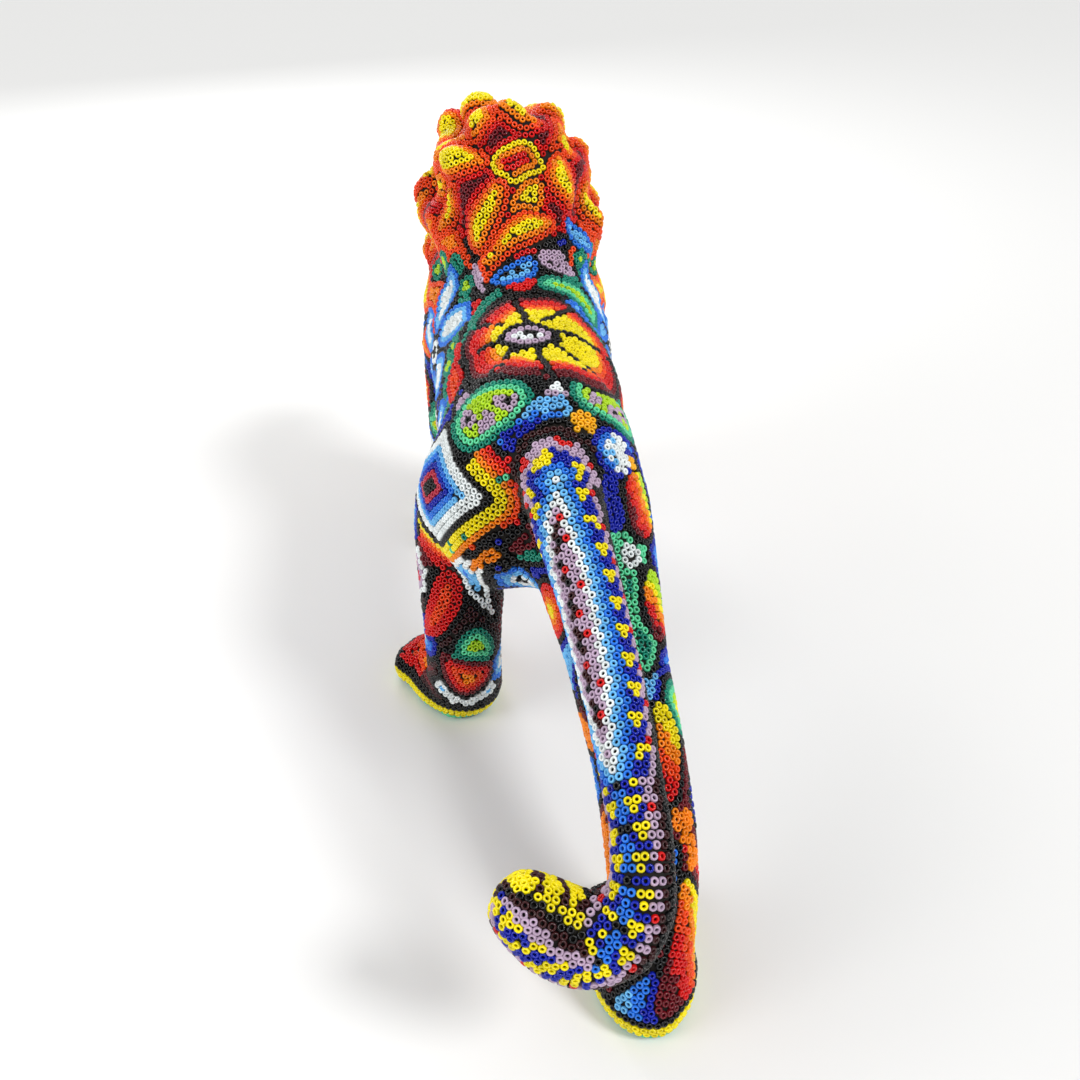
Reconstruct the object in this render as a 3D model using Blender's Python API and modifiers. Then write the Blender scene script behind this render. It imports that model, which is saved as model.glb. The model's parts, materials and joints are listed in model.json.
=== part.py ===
"""Walking lion in Huichol bead work: carved wooden cores joined by dowels, a coat of wax over them,
and a skin of glass seed beads pressed into the wax.

The lion faces -Y and stands on the plane Z = 0. Its left side is +X. The carving is laid out from
the ground under the middle of the trunk, and the finished figure is then slid along the ground so
that the middle of its box is the origin. It is a rigid sculpture, so nothing moves.

Every length in this file is in millimetres, and MM turns it into Blender's metres.
"""

from math import cos, radians, sin

import bmesh
import bpy
from mathutils import Matrix, Vector

MM = 0.001

# Layers, from the outside in, as depths below the bead surface.
BEAD_DEPTH = 1.2
LAYER_GAP = 0.35
WAX_DEPTH = 1.3
WAX_TOP = BEAD_DEPTH + LAYER_GAP
WAX_BOTTOM = WAX_TOP + WAX_DEPTH
SEAM = 0.3

# Resolution of the carved form.
VOXEL = 1.7
SMOOTH_ROUNDS = 12
INNER_SMOOTH_ROUNDS = 2
SMOOTH_FACTOR = 0.5
RELAX_FACTOR = 0.4
NORMAL_ROUNDS = 2
OUTER_TRIANGLES = 1900
INNER_TRIANGLES = 1600
BALL_SUBDIVISIONS = 4
ROD_SIDE_STEPS = 4
ROD_LENGTH_STEPS = 8
WELD = 0.01
SHARP_ANGLE = 40

# Each ball is (centre, radii, turn about Z in degrees).
TRUNK = (
    ((0, -66, 97), (32, 38, 38), 0),
    ((0, -40, 96), (31, 44, 35), 0),
    ((0, -8, 94), (30, 50, 34), 0),
    ((0, 24, 90), (30, 32, 36), 0),
    ((13, 24, 86), (19, 30, 32), 0),
    ((-12, 34, 88), (18, 32, 31), 0),
    ((20, -68, 88), (14, 20, 32), 0),
    ((-20, -76, 88), (14, 20, 32), 0),
)
HEAD = (
    ((0, -108, 137), (20, 24, 21), 0),
    ((0, -130, 127), (14, 16, 11.5), 0),
    ((0, -124, 138), (8, 17, 9), 0),
    ((0, -128, 118), (9, 13, 7), 0),
    ((12, -118, 127), (9, 11, 11), 0),
    ((-12, -118, 127), (9, 11, 11), 0),
    ((9, -121, 147), (8, 7, 5), 0),
    ((-9, -121, 147), (8, 7, 5), 0),
    ((18, -101, 156), (8, 7, 8), 20),
    ((-14.5, -101, 157), (6.4, 6.5, 7.5), -20),
)
RUFF = ((0, -78, 127), (26, 33, 38), 0)
NECK = (
    ((0, -58, 120), (25, 28, 25), 0),
    ((0, -90, 100), (23, 22, 32), 0),
)

# Each limb is a row of (x, y, z, radius) from the trunk outwards.
LIMBS = {
    "foreleg_left": ((19, -68, 92, 15), (21, -60, 64, 13), (21, -66, 34, 11.5), (21, -70, 12, 12)),
    "foreleg_right": ((-19, -76, 92, 15), (-20, -82, 66, 13.5), (-20, -104, 36, 11.5), (-20, -112, 12, 12)),
    "hindleg_left": ((16, 26, 88, 19), (22.5, 14, 64, 16.5), (24, 30, 38, 13), (24, 24, 10, 13)),
    "hindleg_right": ((-12, 38, 86, 20), (-17, 78, 63, 14.5), (-20.5, 122, 36, 12.5), (-18, 136, 10, 12.5)),
    "tail": (
        (-2, 40, 108, 11),
        (-3.6, 64, 104, 10.5),
        (-8.2, 88, 92, 9),
        (-10.8, 113, 81.5, 8.2),
        (-12.3, 134, 72.5, 7.8),
        (-12.6, 148, 64.5, 8.2),
        (-10.2, 153.5, 55, 9.2),
        (-3, 154, 48.5, 10.5),
        (6, 151.5, 50, 11.5),
        (12.6, 149.5, 56, 10),
    ),
}

# Each paw is (centre of the sole, half width, half length, height, turn about Z in degrees).
PAWS = {
    "foreleg_left": ((21, -80), 14, 21, 17, 0),
    "foreleg_right": ((-20, -122), 14, 21, 17, 0),
    "hindleg_left": ((28, 16), 15, 19.5, 17, 24),
    "hindleg_right": ((-18, 130), 15, 22, 18, 0),
}
PAW_MIDDLE = 0.3

# Toes: radius, the share of it that is their half width and half length, height of their middles, places
# across the paw in steps, and how far apart and how far out these are as shares of the paw.
TOE_RADIUS = 7.0
TOE_WIDTH = 0.85
TOE_LENGTH = 1.2
TOE_HEIGHT = 5.2
TOE_STEPS = (-1.5, -0.5, 0.5, 1.5)
TOE_SPREAD = 0.52
TOE_REACH = 0.86
TOE_FALL = 0.09

# Rows of mane locks over the ruff: number, first angle round the face, start and end angle from the
# face, sideways sweep, radius, lift of the tip. A lock's shape is its radius along its length, as shares.
LOCK_ROWS = (
    (13, 12, 52, 84, 10, 6.0, 5.0),
    (12, 27, 82, 112, -14, 6.4, 4.5),
    (9, 0, 108, 150, 12, 6.6, 2.0),
)
LOCK_SHAPE = (0.55, 0.9, 1.0, 0.92, 0.7)
LOCK_SINK = 0.25

# Everything below the ground, which is cut away for flat soles.
BELOW_GROUND = ((-80, -200, -40), (80, 200, 0))

# Saw cuts between the carved pieces: outline in Y and Z, range in X.
CUTS = {
    "head": (((22, 188), (-112, 54), (-172, 54), (-172, 200), (22, 200)), (-60, 60)),
    "foreleg_left": (((-150, -5), (-30, -5), (-30, 54), (-150, 54)), (0, 60)),
    "foreleg_right": (((-150, -5), (-30, -5), (-30, 54), (-150, 54)), (-60, 0)),
    "hindleg_left": (((-15, -5), (60, -5), (60, 54), (-15, 54)), (0, 60)),
    "hindleg_right": (
        (
            (60, -5), (165, -5), (165, 16), (148, 21), (137.4, 30), (136.6, 55), (88, 78), (78.5, 81),
            (60.5, 53),
        ),
        (-60, 60),
    ),
    "tail": (
        (
            (54.5, 94), (67, 121), (175, 121), (175, 18), (148, 22), (137.8, 31), (137.2, 57), (89, 80),
            (70, 90),
        ),
        (-60, 60),
    ),
}

# Dowels: centre on the saw cut, direction, radius, half length.
DOWELS = {
    "dowel_neck": ((0, -64, 102), (0, -0.707, 0.707), 4.0, 13),
    "dowel_tail": ((-3.5, 61, 105), (0, 0.9, -0.43), 2.8, 10),
    "dowel_foreleg_left": ((21, -61, 54), (0, -0.1, -1), 3.2, 11),
    "dowel_foreleg_right": ((-20, -89, 54), (0, -0.3, -1), 3.2, 11),
    "dowel_hindleg_left": ((24, 20, 54), (0, 0.2, -1), 3.2, 11),
    "dowel_hindleg_right": ((-18, 71, 70), (0, 0.84, -0.54), 3.2, 11),
}
DOWEL_CLEARANCE = 0.3
DOWEL_SIDES = 14

# Patches of the bead skin: parent piece, then boxes as lowest and highest corner. What is left of the
# parent after its patches is the last name.
PATCHES = {
    "torso": (
        ("back_flower", (-60, -15, 106), (60, 42, 150)),
        ("haunch_left", (0, 6, 0), (60, 80, 160)),
        ("haunch_right", (-60, 6, 0), (0, 80, 160)),
        ("flank_left", (0, -120, 0), (60, 6, 160)),
        ("flank_right", (-60, -120, 0), (0, 6, 160)),
    ),
    "head": (
        ("face", (-24, -170, 108), (24, -106, 156)),
        ("mane", (-60, -170, 106), (60, 40, 200)),
        ("chest", (-60, -170, 40), (60, 0, 106)),
    ),
    "tail": (
        ("tail", (-60, 50, 56), (60, 180, 140)),
        ("tail_tuft", (-60, 100, 0), (60, 180, 56)),
    ),
    "foreleg_left": (
        ("foreleg_left", (-60, -160, 18), (60, 160, 80)),
        ("forepaw_left", (-60, -160, -5), (60, 160, 18)),
    ),
    "foreleg_right": (
        ("foreleg_right", (-60, -160, 18), (60, 160, 80)),
        ("forepaw_right", (-60, -160, -5), (60, 160, 18)),
    ),
    "hindleg_left": (
        ("hindleg_left", (-60, -160, 18), (60, 160, 90)),
        ("hindpaw_left", (-60, -160, -5), (60, 160, 18)),
    ),
    "hindleg_right": (
        ("hindleg_right", (-60, -160, 20), (60, 180, 90)),
        ("hindpaw_right", (-60, -160, -5), (60, 180, 20)),
    ),
}

# Colour, roughness and metallic value of each material.
WOOD = ("carved_wood", (0.42, 0.27, 0.14), 0.7, 0.0)
WAX = ("beeswax_coat", (0.35, 0.22, 0.08), 0.45, 0.0)
DOWEL_WOOD = ("dowel_wood", (0.60, 0.42, 0.24), 0.65, 0.0)
BEAD_COLOURS = {
    "back_flower": (0.90, 0.62, 0.02),
    "haunch_left": (0.70, 0.12, 0.02),
    "haunch_right": (0.05, 0.30, 0.22),
    "flank_left": (0.05, 0.16, 0.60),
    "flank_right": (0.04, 0.12, 0.50),
    "face": (0.92, 0.45, 0.02),
    "mane": (0.88, 0.20, 0.01),
    "chest": (0.60, 0.03, 0.02),
    "tail": (0.12, 0.40, 0.85),
    "tail_tuft": (0.90, 0.80, 0.01),
    "foreleg_left": (0.10, 0.25, 0.70),
    "forepaw_left": (0.75, 0.75, 0.05),
    "foreleg_right": (0.60, 0.05, 0.03),
    "forepaw_right": (0.75, 0.75, 0.05),
    "hindleg_left": (0.80, 0.20, 0.02),
    "hindpaw_left": (0.20, 0.50, 0.15),
    "hindleg_right": (0.70, 0.04, 0.02),
    "hindpaw_right": (0.05, 0.15, 0.65),
}
BEAD_ROUGHNESS = 0.2


def clear_scene():
    for ob in list(bpy.data.objects):
        bpy.data.objects.remove(ob, do_unlink=True)


def collection(name):
    made = bpy.data.collections.new(name)
    bpy.context.scene.collection.children.link(made)
    return made


def move_to(ob, home):
    for old in list(ob.users_collection):
        old.objects.unlink(ob)
    home.objects.link(ob)


def object_from(mesh, name, home):
    ob = bpy.data.objects.new(name, mesh)
    home.objects.link(ob)
    return ob


def hide_as_cutter(ob):
    ob.hide_render = True
    ob.display_type = "WIRE"


def evaluated_mesh(ob):
    bpy.context.view_layer.update()
    graph = bpy.context.evaluated_depsgraph_get()
    return bpy.data.meshes.new_from_object(ob.evaluated_get(graph))


def bake_modifiers(ob):
    """Replaces the object's mesh by what its modifiers make of it."""
    mesh = evaluated_mesh(ob)
    ob.modifiers.clear()
    ob.data = mesh


def ball(centre, radii, turn, home):
    bpy.ops.mesh.primitive_ico_sphere_add(subdivisions=BALL_SUBDIVISIONS, radius=1)
    ob = bpy.context.object
    ob.scale = Vector(radii) * MM
    ob.rotation_euler = (0, 0, radians(turn))
    ob.location = Vector(centre) * MM
    move_to(ob, home)
    return ob


def rod_along(points, radii, name, home):
    """A smooth round limb through the points, as a mesh with welded ends."""
    curve = bpy.data.curves.new(name, "CURVE")
    curve.dimensions = "3D"
    curve.bevel_depth = 1
    curve.bevel_resolution = ROD_SIDE_STEPS
    curve.resolution_u = ROD_LENGTH_STEPS
    curve.use_fill_caps = True
    spline = curve.splines.new("BEZIER")
    spline.bezier_points.add(len(points) - 1)
    spline.radius_interpolation = "CARDINAL"
    for knot, point, radius in zip(spline.bezier_points, points, radii):
        knot.co = Vector(point) * MM
        knot.radius = radius * MM
        knot.handle_left_type = "AUTO"
        knot.handle_right_type = "AUTO"
    guide = object_from(curve, name, home)
    mesh = evaluated_mesh(guide)
    place = guide.matrix_world.copy()
    bpy.data.objects.remove(guide)
    shape = bmesh.new()
    shape.from_mesh(mesh)
    bmesh.ops.remove_doubles(shape, verts=shape.verts, dist=WELD * MM)
    shape.to_mesh(mesh)
    shape.free()
    ob = object_from(mesh, name, home)
    ob.matrix_world = place
    return ob


def round_end(point, radius, home):
    return ball(point, (radius, radius, radius), 0, home)


def limb(name, rows, home):
    points = [row[:3] for row in rows]
    radii = [row[3] for row in rows]
    yield rod_along(points, radii, name, home)
    yield round_end(points[0], radii[0], home)
    yield round_end(points[-1], radii[-1], home)


def paw(sole, half_width, half_length, height, turn, home):
    """A rounded paw with four toes, sunk a little below the ground for a flat sole."""
    x, y = sole
    yield ball((x, y, height * PAW_MIDDLE), (half_width, half_length, height * (1 - PAW_MIDDLE)), turn, home)
    across = Matrix.Rotation(radians(turn), 3, "Z")
    toe_radii = (TOE_RADIUS * TOE_WIDTH, TOE_RADIUS * TOE_LENGTH, TOE_RADIUS)
    for step in TOE_STEPS:
        reach = half_length * (TOE_REACH - TOE_FALL * step * step)
        toe = across @ Vector((step * half_width * TOE_SPREAD, -reach, 0))
        yield ball((x + toe.x, y + toe.y, TOE_HEIGHT), toe_radii, turn, home)


def on_ruff(round_face, from_face, lift):
    """A point over the ruff, by its angle round the face and its angle back from the face."""
    centre, radii, _ = RUFF
    a = radians(round_face)
    b = radians(from_face)
    way = Vector((sin(b) * sin(a), -cos(b), sin(b) * cos(a)))
    on_it = Vector((radii[0] * way.x, radii[1] * way.y, radii[2] * way.z))
    return Vector(centre) + on_it + way * lift


def mane_locks(home):
    for number, first, start, end, sweep, radius, lift in LOCK_ROWS:
        for n in range(number):
            turn = first + 360 * n / number
            side = -1 if turn % 360 > 180 else 1
            points = []
            for k in range(len(LOCK_SHAPE)):
                t = k / (len(LOCK_SHAPE) - 1)
                back = start + (end - start) * t
                points.append(on_ruff(turn + side * sweep * t, back, lift * t * t - radius * LOCK_SINK))
            radii = [radius * size for size in LOCK_SHAPE]
            yield rod_along(points, radii, "lock", home)
            yield round_end(points[-1], radii[-1], home)


def carved_form(home):
    """The whole lion as one closed surface, at the level of the beads' outer faces."""
    pieces = [ball(*row, home) for row in TRUNK + HEAD + (RUFF,) + NECK]
    for name, rows in LIMBS.items():
        pieces.extend(limb(name, rows, home))
    for row in PAWS.values():
        pieces.extend(paw(*row, home))
    pieces.extend(mane_locks(home))
    bpy.ops.object.select_all(action="DESELECT")
    for ob in pieces:
        ob.select_set(True)
    bpy.context.view_layer.objects.active = pieces[0]
    bpy.ops.object.transform_apply(location=True, rotation=True, scale=True)
    bpy.ops.object.join()
    form = bpy.context.object
    form.name = "carved_form"
    even_skin(form, SMOOTH_ROUNDS)
    hide_as_cutter(form)
    return form


def even_skin(ob, rounds):
    """Merges everything in the object into one even skin, and softens it."""
    remesh = ob.modifiers.new("one_skin", "REMESH")
    remesh.mode = "VOXEL"
    remesh.voxel_size = VOXEL * MM
    smooth = ob.modifiers.new("soften", "SMOOTH")
    smooth.factor = SMOOTH_FACTOR
    smooth.iterations = rounds
    bake_modifiers(ob)


def thinned(ob, triangles):
    thin = ob.modifiers.new("thin_out", "DECIMATE")
    thin.ratio = triangles / (2 * len(ob.data.polygons))
    thin.use_collapse_triangulate = True
    relax = ob.modifiers.new("relax", "SMOOTH")
    relax.factor = RELAX_FACTOR
    relax.iterations = 1
    bake_modifiers(ob)


def even_way(v, ways):
    """The mean direction of a vertex's neighbours."""
    around = [ways[edge.other_vert(v)] for edge in v.link_edges]
    return sum(around, Vector()) / len(around)


def sunk_copy(form, depth, name, home):
    """The form with its surface moved inwards by a depth, along evened-out normals, which keeps folds out."""
    shape = bmesh.new()
    shape.from_mesh(form.data)
    shape.normal_update()
    ways = {v: v.normal.copy() for v in shape.verts}
    for _ in range(NORMAL_ROUNDS):
        ways = {v: (way + even_way(v, ways)).normalized() for v, way in ways.items()}
    for v, way in ways.items():
        v.co -= way * (depth * MM)
    mesh = bpy.data.meshes.new(name)
    shape.to_mesh(mesh)
    shape.free()
    ob = object_from(mesh, name, home)
    hide_as_cutter(ob)
    return ob


def cut_with(ob, tool, operation, solver="EXACT"):
    step = ob.modifiers.new("cut", "BOOLEAN")
    step.operation = operation
    step.object = tool
    step.solver = solver
    bake_modifiers(ob)


def hollow(outside, inside):
    """Puts the inner surface, turned inside out, into the outer one, which makes a hollow solid."""
    lining = inside.data.copy()
    lining.flip_normals()
    shape = bmesh.new()
    shape.from_mesh(outside.data)
    shape.from_mesh(lining)
    shape.to_mesh(outside.data)
    shape.free()


def layers_of(form, home):
    """The hollow bead skin, the hollow wax coat and the solid wood, all still whole."""
    wax_inside = sunk_copy(form, WAX_BOTTOM, "wax_inside", home)
    even_skin(wax_inside, INNER_SMOOTH_ROUNDS)
    thinned(wax_inside, INNER_TRIANGLES)
    wood = sunk_copy(wax_inside, LAYER_GAP, "wood", home)

    bead_skin = copy_of(form, "bead_skin", home)
    hide_as_cutter(bead_skin)
    thinned(bead_skin, OUTER_TRIANGLES)
    wax_coat = sunk_copy(bead_skin, WAX_TOP, "wax_coat", home)
    cut_with(wax_coat, wax_inside, "DIFFERENCE", "MANIFOLD")
    hollow(bead_skin, sunk_copy(bead_skin, BEAD_DEPTH, "bead_inside", home))
    return bead_skin, wax_coat, wood


def prism(name, outline, low, high, home):
    """A flat outline in Y and Z, thickened along X from low to high."""
    curve = bpy.data.curves.new(name, "CURVE")
    curve.dimensions = "2D"
    curve.fill_mode = "BOTH"
    curve.extrude = (high - low) / 2 * MM
    spline = curve.splines.new("POLY")
    spline.points.add(len(outline) - 1)
    for point, (y, z) in zip(spline.points, outline):
        point.co = (y * MM, z * MM, 0, 1)
    spline.use_cyclic_u = True
    guide = object_from(curve, name, home)
    mesh = evaluated_mesh(guide)
    bpy.data.objects.remove(guide)
    shape = bmesh.new()
    shape.from_mesh(mesh)
    bmesh.ops.remove_doubles(shape, verts=shape.verts, dist=WELD * MM)
    to_yz = Matrix(((0, 0, 1, (low + high) / 2 * MM), (1, 0, 0, 0), (0, 1, 0, 0), (0, 0, 0, 1)))
    bmesh.ops.transform(shape, matrix=to_yz, verts=shape.verts)
    bmesh.ops.recalc_face_normals(shape, faces=shape.faces)
    shape.to_mesh(mesh)
    shape.free()
    ob = object_from(mesh, name, home)
    hide_as_cutter(ob)
    return ob


def box(name, low, high, home):
    bpy.ops.mesh.primitive_cube_add(size=1)
    ob = bpy.context.object
    ob.name = name
    low = Vector(low)
    high = Vector(high)
    ob.location = (low + high) / 2 * MM
    ob.scale = (high - low) * MM
    bpy.ops.object.transform_apply(location=True, rotation=True, scale=True)
    move_to(ob, home)
    hide_as_cutter(ob)
    return ob


def copy_of(ob, name, home):
    return object_from(ob.data.copy(), name, home)


def keep_largest_body(ob):
    """Drops the crumbs that a cut leaves beside the main body."""
    shape = bmesh.new()
    shape.from_mesh(ob.data)
    left = set(shape.faces)
    bodies = []
    while left:
        front = [left.pop()]
        body = list(front)
        while front:
            face = front.pop()
            for edge in face.edges:
                for other in edge.link_faces:
                    if other in left:
                        left.remove(other)
                        front.append(other)
                        body.append(other)
        bodies.append(body)
    bodies.sort(key=lambda body: sum(face.calc_area() for face in body))
    crumbs = [face for body in bodies[:-1] for face in body]
    bmesh.ops.delete(shape, geom=crumbs, context="FACES")
    shape.to_mesh(ob.data)
    shape.free()


def material(name, colour, roughness, metallic):
    made = bpy.data.materials.new(name)
    made.use_nodes = True
    shader = made.node_tree.nodes["Principled BSDF"]
    shader.inputs["Base Color"].default_value = (*colour, 1)
    shader.inputs["Roughness"].default_value = roughness
    shader.inputs["Metallic"].default_value = metallic
    made.diffuse_color = (*colour, 1)
    return made


def finish(ob, paint):
    ob.data.materials.clear()
    ob.data.materials.append(paint)
    keep_largest_body(ob)
    ob.data.shade_smooth()
    ob.data.set_sharp_from_angle(angle=radians(SHARP_ANGLE))


def segments(layer, prefix, cutters, home, solver="EXACT"):
    """Saws one layer into the torso and the pieces that the saw cuts take off it."""
    made = {}
    torso = copy_of(layer, prefix + "_torso", home)
    for name, (wide, narrow) in cutters.items():
        piece = copy_of(layer, prefix + "_" + name, home)
        cut_with(piece, narrow, "INTERSECT", solver)
        made[name] = piece
        cut_with(torso, wide, "DIFFERENCE", solver)
    made["torso"] = torso
    return made


def inset(outline, distance):
    """The outline with each of its sides moved inwards by a distance."""
    corners = [Vector(point) for point in outline]
    side = 1 if sum(corners[k - 1].cross(corners[k]) for k in range(len(corners))) > 0 else -1
    moved = []
    for k, corner in enumerate(corners):
        before = (corner - corners[k - 1]).normalized()
        after = (corners[(k + 1) % len(corners)] - corner).normalized()
        in_before = Vector((-before.y, before.x)) * side
        in_after = Vector((-after.y, after.x)) * side
        diagonal = in_before + in_after
        moved.append(corner + diagonal * (2 * distance / diagonal.length_squared))
    return moved


def saw_cutters(home):
    """For each cut, the region that the torso loses and the slightly smaller one that the piece keeps."""
    cutters = {}
    for name, (outline, (low, high)) in CUTS.items():
        wide = prism("cut_wide_" + name, outline, low, high, home)
        narrow = prism("cut_narrow_" + name, inset(outline, SEAM), low, high, home)
        cutters[name] = (wide, narrow)
    return cutters


def bead_patches(skins, home, cutter_home):
    """Cuts each piece's bead skin into its patches of one motif each."""
    for parent, patches in PATCHES.items():
        rest = skins[parent]
        for n, (name, low, high) in enumerate(patches):
            inner_low = [value + SEAM / 2 for value in low]
            inner_high = [value - SEAM / 2 for value in high]
            piece = copy_of(rest, "beads_" + name, home)
            cut_with(piece, box("patch_" + name, inner_low, inner_high, cutter_home), "INTERSECT")
            if n < len(patches) - 1:
                outer_low = [value - SEAM / 2 for value in low]
                outer_high = [value + SEAM / 2 for value in high]
                cut_with(rest, box("room_" + name, outer_low, outer_high, cutter_home), "DIFFERENCE")
            finish(piece, material("beads_" + name, BEAD_COLOURS[name], BEAD_ROUGHNESS, 0))
        bpy.data.objects.remove(rest)


def pin(name, centre, way, radius, half_length, home):
    bpy.ops.mesh.primitive_cylinder_add(vertices=DOWEL_SIDES, radius=radius * MM, depth=2 * half_length * MM)
    ob = bpy.context.object
    ob.name = name
    ob.rotation_mode = "QUATERNION"
    ob.rotation_quaternion = Vector(way).to_track_quat("Z", "Y")
    ob.location = Vector(centre) * MM
    bpy.ops.object.transform_apply(location=True, rotation=True, scale=True)
    move_to(ob, home)
    return ob


def fit_dowels(cores, home, cutter_home):
    paint = material(*DOWEL_WOOD)
    for name, (centre, way, radius, half_length) in DOWELS.items():
        dowel = pin(name, centre, way, radius, half_length, home)
        finish(dowel, paint)
        room = pin(
            "room_" + name, centre, way, radius + DOWEL_CLEARANCE, half_length + DOWEL_CLEARANCE, cutter_home
        )
        hide_as_cutter(room)
        cut_with(cores["torso"], room, "DIFFERENCE")
        cut_with(cores[name.replace("dowel_", "").replace("neck", "head")], room, "DIFFERENCE")


def centre_on_origin(figure):
    """Slides the figure along the ground until the middle of its box stands on the origin."""
    corners = [v.co for ob in figure.objects for v in ob.data.vertices]
    middle = Vector((0, 0, 0))
    for axis in (0, 1):
        values = [corner[axis] for corner in corners]
        middle[axis] = (min(values) + max(values)) / 2
    for ob in figure.objects:
        ob.data.transform(Matrix.Translation(-middle))


def build():
    clear_scene()
    lion = collection("huichol_beaded_lion")
    tools = collection("cutters")
    form = carved_form(tools)
    cutters = saw_cutters(tools)

    layers = layers_of(form, tools)
    ground = box("ground", *BELOW_GROUND, tools)
    for layer in layers:
        cut_with(layer, ground, "DIFFERENCE", "MANIFOLD")
    bead_skin, wax_coat, wood = layers

    cores = segments(wood, "core", cutters, lion)
    fit_dowels(cores, lion, tools)
    wood_paint = material(*WOOD)
    for ob in cores.values():
        finish(ob, wood_paint)
    wax_paint = material(*WAX)
    for ob in segments(wax_coat, "wax", cutters, lion, "MANIFOLD").values():
        finish(ob, wax_paint)
    bead_patches(segments(bead_skin, "skin", cutters, tools), lion, tools)
    centre_on_origin(lion)


build()
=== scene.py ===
"""Looks of the beaded lion: about twenty thousand glass seed beads pressed into a wax bed.

The beads are set the way the craft sets them. Each motif is a closed shape laid on the lion's skin, and
its beads follow the shape's outline in rows, one inside the other, with a colour for each row. The tail
has its own pattern, in rings across it.

Lengths are in millimetres, and places are in the carving's own layout: the lion faces -Y, its left side
is +X, and the layout's origin is on the ground under the trunk. Skin.to_frame turns them into the frame.
"""

import heapq
import json
from itertools import product
from math import atan2, ceil, cos, floor, hypot, pi, radians, sin, sqrt

import bmesh
import bpy
import numpy as np
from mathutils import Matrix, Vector
from mathutils.bvhtree import BVHTree
from mathutils.kdtree import KDTree


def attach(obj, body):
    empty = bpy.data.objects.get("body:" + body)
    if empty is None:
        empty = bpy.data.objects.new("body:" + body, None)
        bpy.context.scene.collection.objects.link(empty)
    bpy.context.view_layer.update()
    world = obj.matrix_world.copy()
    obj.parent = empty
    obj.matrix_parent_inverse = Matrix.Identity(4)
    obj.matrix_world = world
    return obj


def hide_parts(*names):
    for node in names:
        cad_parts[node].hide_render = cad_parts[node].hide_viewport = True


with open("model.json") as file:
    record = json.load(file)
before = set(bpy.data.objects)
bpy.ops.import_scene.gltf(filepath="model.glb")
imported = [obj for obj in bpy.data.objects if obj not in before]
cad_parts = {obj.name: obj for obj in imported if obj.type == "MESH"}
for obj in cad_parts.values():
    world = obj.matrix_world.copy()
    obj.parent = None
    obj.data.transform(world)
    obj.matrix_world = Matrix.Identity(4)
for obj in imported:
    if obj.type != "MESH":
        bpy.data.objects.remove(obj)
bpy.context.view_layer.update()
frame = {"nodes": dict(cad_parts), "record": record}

MM = 0.001

# Where one sole's middle is in the carving's layout. Its mount in the record says where that is in the frame.
LAYOUT_SOLE = ("sole_rear_left", (28, 16))

# Beads: size, distances between them, and the bed they are pressed into.
BEAD_RADIUS = 1.04
BEAD_HOLE = 0.40
BEAD_HEIGHT = 1.3
BEAD_SIDES = 11
PITCH = 2.1
ROW = 1.9
CLOSEST = 1.5
GAP = 1.52
GAP_ROUNDS = 3
BED_DEPTH = 0.95
BEADS_PER_PIECE = 1400

# Rows: the least depth a motif needs for one, what is added before its depth is cut to whole rows, both
# in rows, and how far inside a motif's outline a bead of it stands at least.
LEAST_ROW = 0.3
ROW_ROUNDING = 0.45
EDGE = 0.2

# Settling: how far apart neighbours want to be, in pitches, how much of that they move in one round, and
# the share of a move that always follows a bead's own row.
SETTLE_ROUNDS = 9
SETTLE_REACH = 0.98
SETTLE_PUSH = 0.42
ROW_SHARE = 0.4

# Fillers: how many, the room that one needs, the ground left round it, its largest radius, and how far
# above the paws' rims they begin.
FILLERS = 60
FILLER_ROOM = 4.2
FILLER_GROUND = 1.9
FILLER_LARGEST = 8.2
FILLER_START = 2

# The skin's mesh.
VOXEL = 1.15
SOFTEN_ROUNDS = 26
FAR = 50.0
SOLE_CLEAR = 1.0
SOLE_EDGE = 2.0
SOLE_TURN = -0.75

# Colours as sRGB hex values.
COLOURS = {
    "yellow": "F6E400",
    "gold": "F9B514",
    "orange": "F88A06",
    "ember": "F0490E",
    "red": "D81010",
    "maroon": "6E0F1C",
    "brown": "381013",
    "black": "0A0A0C",
    "white": "EEF4F4",
    "sky": "6DBDF2",
    "blue": "2678E2",
    "navy": "0A1FA8",
    "lavender": "BFA6BF",
    "teal": "0F8A72",
    "mint": "5FD8A0",
    "lime": "B4DE1E",
    "rose": "C8304A",
}
SHADES = (0.90, 1.0, 1.07)

# Lumps in the surfaces: how many to a metre, strength, height in metres.
GLASS_RIPPLE = (1500, 0.25, 0.0001)
WAX_LUMPS = (900, 0.3, 0.0004)
WOOD_PORES = (2500, 0.3, 0.0002)

# Small differences between beads: lean, size and how deep they are pressed in.
TILT = 0.045
SIZE_SPREAD = 0.018
SIZE_LIMITS = (0.93, 1.05)
HEIGHT_LIMITS = (0.86, 1.12)
SINK = 0.12
SEED = 7

# The tail's middle line, its pattern's centre line as a way round from the top, and where along it
# the parts of its pattern begin.
TAIL_LINE = (
    (-2, 40, 108),
    (-3.6, 64, 104),
    (-8.2, 88, 92),
    (-10.8, 113, 81.5),
    (-12.3, 134, 72.5),
    (-12.6, 148, 64.5),
    (-10.2, 153.5, 55),
    (-3, 154, 48.5),
    (6, 151.5, 50),
    (12.6, 149.5, 56),
)
TAIL_CENTRE = radians(15)
TAIL_REACH = 17.0
TAIL_ROW = 1.86
PANEL_TOP = 23.4
PANEL_END = 99.5
TAIL_FREE = 40.0
TAIL_DEEPEST = 6.0
TAIL_EDGE = 0.3
# Turns in degrees at which a ring's radius is felt for, and the gap under the tail, in beads.
TAIL_PROBES = (-50, -25, 0, 25, 50)
RING_GAP = 0.35
ARCH_RADIUS = 19.5
TUFT_START = 141.0
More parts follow.
